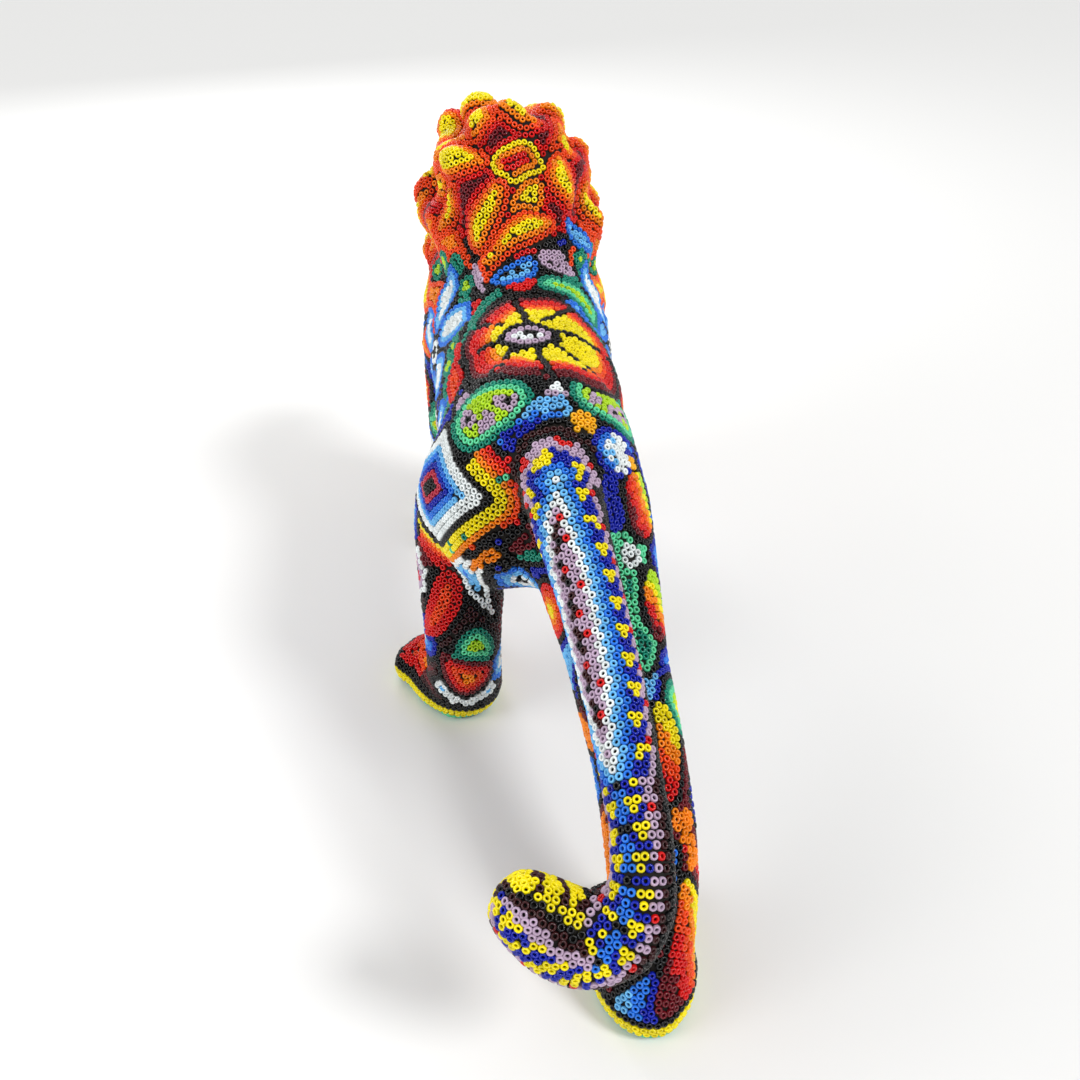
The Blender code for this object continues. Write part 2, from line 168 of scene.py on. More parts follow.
# Along the tail: how far the pattern's centre line lies to the left, and half the panel's width.
CENTRE_LINE = ((23.4, 0), (32, 3), (42, 4.6), (75, 5.6), (90, 4.9), (99, 3.5), (130, 3.2), (141, 0))
PANEL_HALVES = ((23.4, 0), (32, 3.8), (42, 5.8), (60, 6.3), (75, 5.6), (89, 3.7), (97, 1.5), (99.5, 0))

# The camera, in the carving's layout, and the lamps, in the frame.
CAMERA_PLACE = (23.2, 298.9, 259)
CAMERA_TURN = radians(5)
CAMERA_DIP = radians(35)
CAMERA_SENSOR = 36.0
CAMERA_LENS = CAMERA_SENSOR * 1100 / 1080
WORLD_LIGHT = 0.55
SUN = ((-0.55, 0.35, 0.80), radians(16), 1.7)
LAMP_AIM = (0, 0, 0.1)
FLOOR_HALF = 3.0
LAMPS = (
    ("fill", (0.65, 0.30, 0.45), (0.4, 0.4), 2.2),
    ("front", (0.20, -0.70, 0.50), (0.5, 0.5), 2.5),
)

# The ruff that the mane's locks lie on: rings of locks as number, first angle round the face, start and
# end angle back from the face. Then the locks that stand apart: place, half width, half length, bend, rise.
RUFF_MIDDLE = (0, -78, 127)
RUFF_RADII = (26, 33, 38)
LOCK_RINGS = ((13, 12, 52, 84), (12, 27, 82, 112), (9, 0, 108, 150))
LOCKS = (
    ((10, -85, 166), 8.0, 8.5, 0, 4.6),
    ((-2, -68, 168.5), 6.0, 7.5, 1, 4.2),
    ((-15, -82, 162), 6.0, 9, -1, 2.8),
    ((20, -76, 158), 6.0, 8, 1, 2.2),
    ((-22, -86, 150), 7.0, 8, -1, 2.2),
    ((-14, -56, 151), 5.5, 9, 2, 2.4),
    ((-24, -64, 140), 6.5, 10, 1, 2.4),
    ((-27, -62, 125), 6.0, 9, 0, 2.4),
    ((21, -59, 142), 5.0, 9, -1, 2.4),
    ((29, -78, 130), 6.0, 12, -1, 2.2),
    ((28, -84, 145), 7.0, 9, 0, 5.0),
    ((10, -71, 165), 7.4, 7.5, 0, 2.8),
)
LOCK_SWELL = 2.1
LOCKS_APART = 9
PAW_RIM = 8.6




# ---- The skin ----


def placed(name, data):
    """Puts an object with this mesh, light or camera into the scene."""
    ob = bpy.data.objects.new(name, data)
    bpy.context.scene.collection.objects.link(ob)
    return ob


def near_tree(places):
    """A tree that finds the places near a point."""
    tree = KDTree(len(places))
    for k, place in enumerate(places):
        tree.insert(place, k)
    tree.balance()
    return tree


def layout_shift():
    """From the carving's layout to the frame, worked out from one sole's place in the record."""
    name, (x, y) = LAYOUT_SOLE
    mount = next(row for row in frame["record"]["mounts"] if row["name"] == name)
    return np.array((mount["pos_m"][0] / MM - x, mount["pos_m"][1] / MM - y, 0.0))


def joined_nodes(prefixes):
    """One mesh object, in millimetres, of every CAD node whose name starts with one of the prefixes."""
    shape = bmesh.new()
    for name, node in sorted(frame["nodes"].items()):
        if name.startswith(prefixes):
            shape.from_mesh(node.data)
    bmesh.ops.scale(shape, vec=(1 / MM, 1 / MM, 1 / MM), verts=shape.verts)
    mesh = bpy.data.meshes.new("joined")
    shape.to_mesh(mesh)
    shape.free()
    return placed("joined", mesh)


def remeshed(ob, voxel):
    """The object's even voxel mesh, as vertices and triangles. The object is removed."""
    remesh = ob.modifiers.new("even", "REMESH")
    remesh.mode = "VOXEL"
    remesh.voxel_size = voxel
    bpy.context.view_layer.update()
    mesh = bpy.data.meshes.new_from_object(ob.evaluated_get(bpy.context.evaluated_depsgraph_get()))
    bpy.data.objects.remove(ob)
    shape = bmesh.new()
    shape.from_mesh(mesh)
    bmesh.ops.triangulate(shape, faces=shape.faces)
    shape.verts.index_update()
    points = np.array([v.co for v in shape.verts])
    triangles = np.array([[v.index for v in face.verts] for face in shape.faces])
    shape.free()
    return points, triangles


def largest_part(points, triangles):
    """Only the largest connected part of a mesh, which is its outer surface."""
    label = np.arange(len(points))
    while True:
        low = label[triangles].min(axis=1)
        spread = label.copy()
        for corner in range(3):
            np.minimum.at(spread, triangles[:, corner], low)
        spread = spread[spread]
        if (spread == label).all():
            break
        label = spread
    counts = np.bincount(label[triangles[:, 0]], minlength=len(points))
    kept = triangles[label[triangles[:, 0]] == counts.argmax()]
    used, flat = np.unique(kept, return_inverse=True)
    return points[used], flat.reshape(kept.shape)


def spread_over(values, edges, rounds):
    """Values on vertices, evened out with their neighbours."""
    count = len(values)
    both = np.concatenate((edges, edges[:, ::-1]))
    degree = np.bincount(both[:, 0], minlength=count)
    columns = values.reshape(count, -1).astype(float)
    for _ in range(rounds):
        totals = [np.bincount(both[:, 0], columns[both[:, 1], k], count) for k in range(columns.shape[1])]
        columns = 0.5 * columns + 0.5 * np.stack(totals, axis=1) / degree[:, None]
    return columns.reshape(values.shape)


def unit(rows):
    return rows / np.maximum(np.linalg.norm(rows, axis=-1, keepdims=True), 1e-9)


class Skin:
    """The lion's outer surface: vertices in the layout's millimetres, triangles, normals and neighbours."""

    def __init__(self):
        self.shift = layout_shift()
        ob = joined_nodes(("beads_", "wax_", "core_"))
        points, self.triangles = largest_part(*remeshed(ob, VOXEL))
        self.points = points - self.shift
        sides = np.concatenate([self.triangles[:, pair] for pair in ((0, 1), (1, 2), (2, 0))])
        self.edges = np.unique(np.sort(sides, axis=1), axis=0)
        self.soften()
        self.charts = {}
        self.neighbours = [[] for _ in self.points]
        for a, b in self.edges.tolist():
            self.neighbours[a].append(b)
            self.neighbours[b].append(a)

    def soften(self):
        """Smooths the carving's facets, then pushes the surface out again by what the smoothing took."""
        before = self.points
        after = spread_over(before, self.edges, SOFTEN_ROUNDS)
        self.points = after
        self.find_normals()
        lost = ((before - after) * self.normals).sum(axis=1)
        lost = spread_over(lost, self.edges, SOFTEN_ROUNDS)
        self.points = after + self.normals * lost[:, None]
        self.points[:, 2] = np.maximum(self.points[:, 2], 0.0)
        self.find_normals()

    def find_normals(self):
        corners = self.points[self.triangles]
        across = np.cross(corners[:, 1] - corners[:, 0], corners[:, 2] - corners[:, 0])
        total = np.zeros_like(self.points)
        for corner in range(3):
            np.add.at(total, self.triangles[:, corner], across)
        self.normals = unit(total)

    def raise_by(self, heights):
        """Moves the surface out by a height at each vertex."""
        self.points = self.points + self.normals * heights[:, None]
        self.find_normals()

    def tree(self):
        return BVHTree.FromPolygons(self.points.tolist(), self.triangles.tolist())

    def nearest(self, place):
        return int(np.linalg.norm(self.points - np.array(place), axis=1).argmin())

    def chart(self, place, toward, reach):
        """Flat coordinates round a place, kept for the other motifs laid on the same ones."""
        key = (tuple(place), tuple(toward), reach)
        if key not in self.charts:
            self.charts[key] = lay_chart(self, place, toward, reach)
        return self.charts[key]

    def to_frame(self, points):
        return (points + self.shift) * MM


def lay_chart(skin, place, toward, reach):
    """Flat coordinates round a place on the skin: vertex numbers, and how far each lies to the right of
    the place and towards the given direction, measured along the skin."""
    points = skin.points
    normals = skin.normals
    start = skin.nearest(place)
    normal = normals[start]
    up = unit(np.array(toward, float) - normal * float(np.dot(toward, normal)))
    flat = {start: (0.0, 0.0)}
    ups = {start: up}
    best = {start: 0.0}
    queue = [(0.0, start)]
    done = set()
    while queue:
        far, here = heapq.heappop(queue)
        if here in done:
            continue
        if here != start:
            flat[here], ups[here] = unfold(skin, here, flat, ups, done)
        done.add(here)
        if far > reach:
            continue
        for other in skin.neighbours[here]:
            if other in done:
                continue
            step = far + float(np.linalg.norm(points[other] - points[here]))
            if step < best.get(other, FAR * 4):
                best[other] = step
                heapq.heappush(queue, (step, other))
    order = np.array(sorted(done))
    return order, np.array([flat[k] for k in order])


def unfold(skin, here, flat, ups, done):
    """Flat coordinates and up direction of a vertex, as the mean of what its laid neighbours give."""
    total = np.zeros(2)
    up_total = np.zeros(3)
    weight = 0.0
    normal = skin.normals[here]
    for other in skin.neighbours[here]:
        if other not in done:
            continue
        step = skin.points[here] - skin.points[other]
        length = sqrt(float(step @ step))
        out = skin.normals[other]
        up = ups[other]
        right = np.cross(up, out)
        mean_out = out + normal
        level = step - mean_out * (float(step @ mean_out) / float(mean_out @ mean_out))
        x = float(level @ right)
        y = float(level @ up)
        stretch = length / max(hypot(x, y), 1e-6)
        total += (np.array(flat[other]) + np.array((x, y)) * stretch) / length
        up_total += up / length
        weight += 1 / length
    up = up_total - normal * float(up_total @ normal)
    return tuple(total / weight), up / sqrt(float(up @ up))




# ---- Shapes of motifs ----


def oval(half_width, half_height, at=(0, 0)):
    """An ellipse, as how far inside its outline each point lies."""

    def inside(u, v):
        x = u - at[0]
        y = v - at[1]
        q = np.hypot(x / half_width, y / half_height)
        slope = np.hypot(x / half_width**2, y / half_height**2)
        return (1 - q) * (q + 1e-6) / (slope + 1e-6 / min(half_width, half_height))

    return inside


def leaf(half_width, half_length, bend=0.0):
    """A pointed leaf along v, bent to one side by a distance at its ends."""
    arc = (half_length**2 + half_width**2) / (2 * half_width)
    offset = arc - half_width

    def inside(u, v):
        x = u - bend * (v / half_length) ** 2
        return np.minimum(arc - np.hypot(x + offset, v), arc - np.hypot(x - offset, v))

    return inside


def rosette(radius, petals, depth):
    """A round flower with a wavy edge."""

    def inside(u, v):
        edge = radius * (1 + depth * np.cos(petals * np.arctan2(u, v)))
        return (edge - np.hypot(u, v)) * 0.95

    return inside


def outline(*corners):
    """A straight-sided shape."""
    starts = np.array(corners, float)
    sides = np.roll(starts, -1, axis=0) - starts

    def inside(u, v):
        x = u[:, None] - starts[None, :, 0]
        y = v[:, None] - starts[None, :, 1]
        along = (x * sides[:, 0] + y * sides[:, 1]) / (sides**2).sum(axis=1)
        along = along.clip(0, 1)
        far = np.hypot(x - along * sides[:, 0], y - along * sides[:, 1]).min(axis=1)
        ends = starts + sides
        spans = (starts[:, 1] > v[:, None]) != (ends[:, 1] > v[:, None])
        rise = np.where(sides[:, 1] == 0, 1e-9, sides[:, 1])
        left_of = x < y * sides[:, 0] / rise
        odd = (spans & left_of).sum(axis=1) % 2 == 1
        return np.where(odd, far, -far)

    return inside


def loop(*knots):
    """A closed shape that runs smoothly through its knots."""
    points = np.array(knots, float)
    before = np.roll(points, 1, axis=0)
    after = np.roll(points, -1, axis=0)
    later = np.roll(points, -2, axis=0)
    smooth = []
    for t in np.linspace(0, 1, 6, endpoint=False):
        way = (after - before) * t + (2 * before - 5 * points + 4 * after - later) * t**2
        way = way + (3 * points - before - 3 * after + later) * t**3
        smooth.append(points + way / 2)
    return outline(*np.stack(smooth, axis=1).reshape(-1, 2))


def mirrored(knots):
    return [(-u, v) for u, v in knots]


# ---- Motifs on the skin ----


class Motif:
    """A shape laid on the skin, with a colour for each row of beads, from its outline inwards.

    It lies in a chart round its place, with v toward a direction, out to a reach. Without a place its shape
    works on the skin's points themselves. Its paint may overrule a row's colour, its rows follow its field
    where it has one, and it rises above the skin by some millimetres.
    """

    def __init__(
        self, name, shape, rows, place=None, toward=None, reach=0, paint=None, rises=0.0, field=None
    ):
        self.name = name
        self.shape = shape
        self.rows = rows
        self.place = place
        self.toward = toward
        self.reach = reach
        self.paint = paint
        self.rises = rises
        self.field = field

    def lay(self, skin):
        """How far inside the shape each vertex lies, and its flat coordinates."""
        count = len(skin.points)
        self.depth = np.full(count, -FAR)
        self.flat = np.full((count, 2), np.nan)
        if self.place is None:
            self.depth = self.shape(skin.points)
            self.flat = skin.points[:, :2].copy()
            self.order = np.arange(count)
        else:
            self.order, flat = skin.chart(self.place, self.toward, self.reach)
            self.flat[self.order] = flat
            self.depth[self.order] = self.shape(flat[:, 0], flat[:, 1])
        self.own = self.depth
        if self.field is not None:
            self.own = np.full(count, np.nan)
            self.own[self.order] = self.field(self.flat[self.order, 0], self.flat[self.order, 1])

    def colour(self, row, u, v, place):
        if self.paint is not None:
            painted = self.paint(row, u, v, place)
            if painted is not None:
                return painted
        return self.rows[min(row, len(self.rows) - 1)]


def raise_motifs(skin, motifs):
    """Lifts the skin under the motifs that stand proud, highest along their middles."""
    heights = np.zeros(len(skin.points))
    for motif in motifs:
        if motif.rises:
            deepest = motif.depth.max()
            swell = np.clip(motif.depth / deepest, 0, 1)
            heights = np.maximum(heights, motif.rises * np.sin(swell * pi / 2))
    skin.raise_by(spread_over(heights, skin.edges, 2))


# ---- Rows of beads ----


def contour(skin, field, level):
    """The lines on the skin where a field has a level: each line as vertex pairs and shares between them."""
    values = field[skin.triangles]
    above = values > level
    crossed = np.isfinite(values).all(axis=1) & above.any(axis=1) & ~above.all(axis=1)
    corners = skin.triangles[crossed]
    above = above[crossed]
    alone = np.where(above.sum(axis=1) == 1, above.argmax(axis=1), (~above).argmax(axis=1))
    each = np.arange(len(corners))
    tip = corners[each, alone]
    ends = []
    for turn in (1, 2):
        other = corners[each, (alone + turn) % 3]
        ends.append(np.stack((np.minimum(tip, other), np.maximum(tip, other)), axis=1))
    links = {}
    for first, second in zip(map(tuple, ends[0].tolist()), map(tuple, ends[1].tolist())):
        links.setdefault(first, []).append(second)
        links.setdefault(second, []).append(first)
    lines = []
    starts = [edge for edge, joined in links.items() if len(joined) == 1]
    seen = set()
    for start in starts + list(links):
        if start in seen:
            continue
        line = [start]
        seen.add(start)
        here = start
        while True:
            onward = [edge for edge in links[here] if edge not in seen]
            if not onward:
                break
            here = onward[0]
            seen.add(here)
            line.append(here)
        closed = len(line) > 3 and start in links[here]
        lines.append((np.array(line), closed))
    return lines


def along_line(skin, field, level, line, closed):
    """Evenly spaced places along a contour line, each as a vertex pair with the share of the second."""
    low = field[line[:, 0]]
    high = field[line[:, 1]]
    share = ((level - low) / (high - low)).clip(0, 1)
    points = skin.points[line[:, 0]] * (1 - share)[:, None] + skin.points[line[:, 1]] * share[:, None]
    if closed:
        points = np.concatenate((points, points[:1]))
    steps = np.linalg.norm(np.diff(points, axis=0), axis=1)
    length = np.concatenate(([0.0], np.cumsum(steps)))
    count = int(round(length[-1] / PITCH))
    if count == 0:
        return
    for n in range(count):
        want = (n + 0.5) * length[-1] / count
        k = min(int(np.searchsorted(length, want, side="right")) - 1, len(line) - 1)
        way = points[min(k + 1, len(points) - 1)] - points[k]
        part = (want - length[k]) / max(steps[min(k, len(steps) - 1)], 1e-9)
        place = points[k] + way * min(part, 1.0)
        yield place, int(line[k, 0] if share[k] < 0.5 else line[k, 1]), unit(way)


class Beads:
    """Every bead's place, with a note of its vertex, row direction, motif, row and flat coordinates."""

    def __init__(self):
        self.places = []
        self.notes = []

    def add(self, place, vertex, way, motif, row, flat):
        self.places.append(place)
        self.notes.append((vertex, way, motif, row, flat))


def bead_rows(skin, motifs, beads):
    """Lays rows of beads inside every motif, at even depths below its outline."""
    cover = np.full(len(skin.points), -FAR)
    for number, motif in enumerate(motifs):
        visible = np.minimum(motif.depth, -cover)
        field = motif.own if motif.field is not None else visible
        motif.visible = visible
        cover = np.maximum(cover, motif.depth)
        if motif.rows is None:
            continue
        deepest = visible.max()
        if deepest < ROW * LEAST_ROW:
            continue
        top = field[visible > 0].max() if motif.field is not None else deepest
        rows = max(int(top / ROW + ROW_ROUNDING), 1)
        for row in range(rows):
            level = (row + 0.5) * top / rows
            for line, closed in contour(skin, field, level):
                for place, vertex, way in along_line(skin, field, level, line, closed):
                    if motif.field is not None and visible[vertex] < EDGE:
                        continue
                    beads.add(place, vertex, way, number, row, motif.flat[vertex])


# ---- The tail ----


class Tail:
    """The tail's own coordinates: the distance along its middle line, and the way round it from its
    pattern's centre line, positive towards the lion's left and then up along the tuft."""

    def __init__(self):
        knots = np.array(TAIL_LINE, float)
        padded = np.concatenate((2 * knots[:1] - knots[1:2], knots, 2 * knots[-1:] - knots[-2:-1]))
        line = []
        for k in range(1, len(padded) - 2):
            a, b, c, d = padded[k - 1 : k + 3]
            for t in np.linspace(0, 1, 24, endpoint=False):
                bend = (2 * a - 5 * b + 4 * c - d) * t**2 + (3 * b - a - 3 * c + d) * t**3
                line.append(b + ((c - a) * t + bend) / 2)
        self.line = np.array(line)
        steps = np.linalg.norm(np.diff(self.line, axis=0), axis=1)
        self.length = np.concatenate(([0.0], np.cumsum(steps)))
        self.ways = unit(np.gradient(self.line, axis=0))
        tops = [unit(np.array((0, 0, 1.0)) - self.ways[0] * self.ways[0][2])]
        for way in self.ways[1:]:
            tops.append(unit(tops[-1] - way * float(tops[-1] @ way)))
        self.tops = np.array(tops)
        self.sides = np.cross(self.ways, self.tops)

    def at(self, t):
        """Middle point, top and side of the tail at a distance along it."""
        rows = (self.line, self.tops, self.sides)
        return [np.array([np.interp(t, self.length, row[:, axis]) for axis in range(3)]) for row in rows]

    def locate(self, points):
        """Distance along the tail, way round it and distance from its middle line, for each point."""
        tree = near_tree(self.line)
        found = [tree.find(point) for point in points.tolist()]
        k = np.array([row[1] for row in found])
        off = points - self.line[k]
        angle = np.arctan2((off * self.sides[k]).sum(axis=1), (off * self.tops[k]).sum(axis=1))
        far = np.array([row[2] for row in found])
        turn = (angle - TAIL_CENTRE + pi) % (2 * pi) - pi
        t = self.length[k] + (off * self.ways[k]).sum(axis=1)
        return t, turn * far - centre_line(t), far


def centre_line(t):
    return np.interp(t, *zip(*CENTRE_LINE))


def tail_depth(skin, tail):
    """How far inside the tail's pattern each vertex of the skin lies."""
    depth = np.full(len(skin.points), -FAR)
    t, a, far = tail.locate(skin.points)
    near = far < TAIL_REACH
    arch = ARCH_RADIUS - np.hypot(np.maximum(PANEL_TOP - t, 0), a)
    free = t - TAIL_FREE
    depth[near] = np.maximum(arch, free)[near].clip(-FAR, TAIL_DEEPEST)
    return depth


def tail_rings(skin, tail, tree, depth, beads, number):
    """Rings of beads across the tail, each set half a bead round from the one before it."""
    t = PANEL_TOP - ARCH_RADIUS
    ring = 0
    while t < tail.length[-1]:
        centre, top, side = tail.at(t)

        def cast(angle):
            way = top * cos(angle) + side * sin(angle)
            return tree.ray_cast(centre.tolist(), way.tolist(), TAIL_REACH)

        radii = [cast(TAIL_CENTRE + radians(turn))[3] for turn in TAIL_PROBES]
        radii = [r for r in radii if r is not None]
        mean = sum(radii) / len(radii) if radii else TAIL_REACH / 2
        half = int(pi * mean / PITCH)
        shift = 0.5 * (ring % 2)
        for j in range(-half, half + 1):
            column = j + shift
            angle = column * PITCH / mean + centre_line(t) / mean
            if abs(column) > pi * mean / PITCH - RING_GAP:
                continue
            place, _, face, _ = cast(TAIL_CENTRE + angle)
            if place is None:
                continue
            vertex = int(skin.triangles[face, 0])
            if depth[vertex] < TAIL_EDGE:
                continue
            beads.add(np.array(place), vertex, np.zeros(3), number, ring, (t, column))
        t += TAIL_ROW
        ring += 1


def three_bead_triangle(ring, out, period=4):
    """True where three-bead triangles sit, two beads in one ring and one in the next."""
    if ring % period == 0:
        return 0 <= out < 2
    return ring % period == 1 and 0.45 < out < 1.5


def tail_colour(ring, t, column):
    """Colours in columns down the tail, counted out from its centre line, and arches at its root."""
    if t > TUFT_START:
        return tuft_colour(ring, column)
    if t > PANEL_END:
        return below_panel_colour(ring, abs(column))
    if t < PANEL_TOP:
        return root_arch_colour(hypot((PANEL_TOP - t) / PITCH, column), atan2(column, PANEL_TOP - t + 0.01))
    half = float(np.interp(t, *zip(*PANEL_HALVES))) / PITCH
    out = abs(column) - half
    if out < -1:
        return panel_colour(ring, column, half)
    if out < 0:
        return "white"
    if out < 1:
        return "sky"
    if out < 2:
        return "blue"
    if out < 4:
        return "yellow" if three_bead_triangle(ring, out - 2) else "navy"
    if out < 5:
        return "red" if ring % 5 == 2 else "lavender"
    return "black" if out < 7.5 else ("brown", "black", "maroon")[ring % 3]


def root_arch_colour(out, turn):
    """The arches round the top of the panel, counted in beads from the panel's point."""
    if out < 0.6:
        return "white"
    if out < 1.8:
        return "sky"
    if out < 2.9:
        return "blue"
    if out < 4.9:
        step = int(out * turn / 1.0 + 40)
        return "yellow" if three_bead_triangle(step, 4.9 - out) else "navy"
    if out < 7.0:
        return "red" if 5.9 < out and int(turn * 5.4 + 40.5) % 3 == 0 else "lavender"
    return ("brown", "black")[int(out) % 2]


def panel_colour(ring, column, half):
    """Inside the pointed panel: lavender with a dark streak and red beads along two lines."""
    if ring % 7 == 1 and -0.6 < column < 0.3:
        return "red"
    if ring % 7 == 4 and -1.6 < column < -0.7:
        return "red"
    if -0.3 < column < 0.7 and half > 1.9 and ring % 5:
        return "brown" if ring % 3 else "black"
    return "lavender"


def below_panel_colour(ring, column):
    if column < 0.6:
        return "black" if ring % 5 == 2 else "blue"
    if column < 2.7:
        return "yellow" if three_bead_triangle(ring, column - 0.75, 3) else "navy"
    if column < 3.5:
        return "lavender"
    if column < 4.5:
        return "red" if ring % 5 == 0 else "lavender"
    if column < 5.5:
        return "brown"
    return "black" if column < 8 else ("brown", "maroon")[ring % 2]


def tuft_colour(ring, column):
    """Navy and yellow fingers in front, then bands, then yellow with dark stripes over the top."""
    if -4.4 < column < -0.4:
        return "yellow" if (ring + floor(column * 0.7)) % 4 < 2 else "navy"
    if -0.4 <= column < 1.3:
        return "lavender"
    if 1.3 <= column < 2.2:
        return "brown"
    if 2.2 <= column < 3.1:
        return "black"
    if column >= 3.1:
        return "brown" if ring % 3 == 1 and column > 4.0 else "yellow"
    if column > -5.4:
        return "red" if ring % 5 == 0 else "lavender"
    return "brown" if column > -6.4 or ring % 3 == 1 else "yellow"


# ---- The motifs ----

HEADWARD = (0, -1, 0)
UPWARD = (0, 0, 1)
WARM = ("maroon", "red", "ember", "orange", "gold", "yellow")
COOL = ("navy", "blue", "sky", "white")
GREENS = ("teal", "mint", "lime", "lavender")
FLOWER_PLACE = (-5, 5, 126)
FLOWER_RADII = (30, 27)
FLOWER_EYE = (-5.5, 0.5)
FLOWER_LINE = 0.62
# Half widths of single beads and of round blobs that a paint sets.
DOT = 1.15
BLOB = 3.2
PETALS = 8
PETAL_TURN = radians(100)
FLOWER_FRONT_ROWS = ("black", "maroon", "red", "red", "ember", "orange", "yellow")
KITE = ((-9.3, 15), (18.5, 4.7), (-3.0, -21.5), (-30, -10))
KITE_ROWS = ("black", "yellow", "yellow", "orange", "ember", "red", "red", "maroon", "maroon")
GREEN_LOBE = (
    (-2.9, 14.9), (-8.8, 12), (-11.9, 7.5), (-11.9, 0.6), (-9, -4.5), (-2.6, -6.7),
    (4.9, -7.3), (10.7, -5.8), (15.1, -1.6), (14, 6), (6, 12),
)
FLANK_PETALS = 6
# The chain of green ovals above the left flank, as (y, x, z).
CHAIN = (
    (-61, 26.7, 120.2), (-50, 22.3, 127.9), (-40, 17.6, 127), (-32, 18.1, 122.7), (-21, 21.2, 117.3),
    (-6, 24.3, 112.6), (17, 26.4, 106.1),
)


def flower_rim(u, v):
    """How far inside the back flower's scalloped rim each point lies."""
    turn = np.arctan2(v / FLOWER_RADII[1], u / FLOWER_RADII[0])
    scallop = 0.93 + 0.07 * np.abs(np.sin(PETALS / 2 * (turn - PETAL_TURN))) ** 0.7
    share = np.hypot(u / FLOWER_RADII[0], v / FLOWER_RADII[1])
    return (scallop - share) * np.hypot(u, v) / np.maximum(share, 0.05)


def flower_lines(u, v):
    """Thin lines between the back flower's petals."""
    x = u - FLOWER_EYE[0]
    y = v - FLOWER_EYE[1]
    turn = np.arctan2(y, x)
    nearest = np.round((turn - PETAL_TURN) * PETALS / (2 * pi)) * 2 * pi / PETALS + PETAL_TURN
    off = np.abs(np.sin(turn - nearest)) * np.hypot(x, y)
    return np.minimum(FLOWER_LINE - off, flower_rim(u, v))


def flower_paint(row, u, v, place):
    """Short dark dashes on the flower's rear petals, and narrower dark rows round its other ones."""
    for x, y in ((-11, -8.5), (-12.5, -12), (-14, -15), (3, -8.5), (5.5, -11), (8.5, -14.5)):
        if hypot(u - x, v - y) < 1.0:
            return "black"
    if v > -16:
        return FLOWER_FRONT_ROWS[min(row, len(FLOWER_FRONT_ROWS) - 1)]
    return None


def dots(*places):
    """Paints a black bead, or two, at each given place."""

    def paint(row, u, v, place):
        for x, y in places:
            if hypot(u - x, v - y) < DOT:
                return "black"
        return None

    return paint


def blobs(*places):
    """Paints a round lavender blob with a black bead in its middle at each given place."""

    def paint(row, u, v, place):
        far = min(hypot(u - x, v - y) for x, y in places)
        if row == 0 or far > BLOB:
            return None
        return "black" if far < DOT else "lavender"

    return paint


def star(at, arms, length, colour, width=1.3):
    """Paints a star of thin arms."""

    def paint(row, u, v, place):
        x = u - at[0]
        y = v - at[1]
        far = hypot(x, y)
        if far > length:
            return None
        turn = atan2(y, x)
        step = 2 * pi / arms
        off = abs(sin(turn - round(turn / step) * step)) * far
        return colour if off < width or far < 1.8 else None

    return paint


def by_u(*bands):
    """Paints bands across a shape: each is an upper limit of u and a colour."""

    def paint(row, u, v, place):
        for limit, colour in bands:
            if u < limit:
                return colour
        return bands[-1][1]

    return paint


def arch_paint(row, u, v, place):
    """Sky outside, through blue, to navy next to the tail."""
    far = hypot(u + 1, v + 16)
    return "navy" if far < 17.5 else "blue" if far < 19.8 else "sky"


def chevron_paint(row, u, v, place):
    """Short green dashes across the hip's yellow rows."""
    for x, y in ((20.0, 12.0), (21.5, 13.5), (12.5, -9.0), (13.5, -11.5), (4.5, -17.0), (5.5, -19.5)):
        if hypot(u - x, v - y) < 1.2:
            return "mint" if (int(x) % 2) else "teal"
    return None


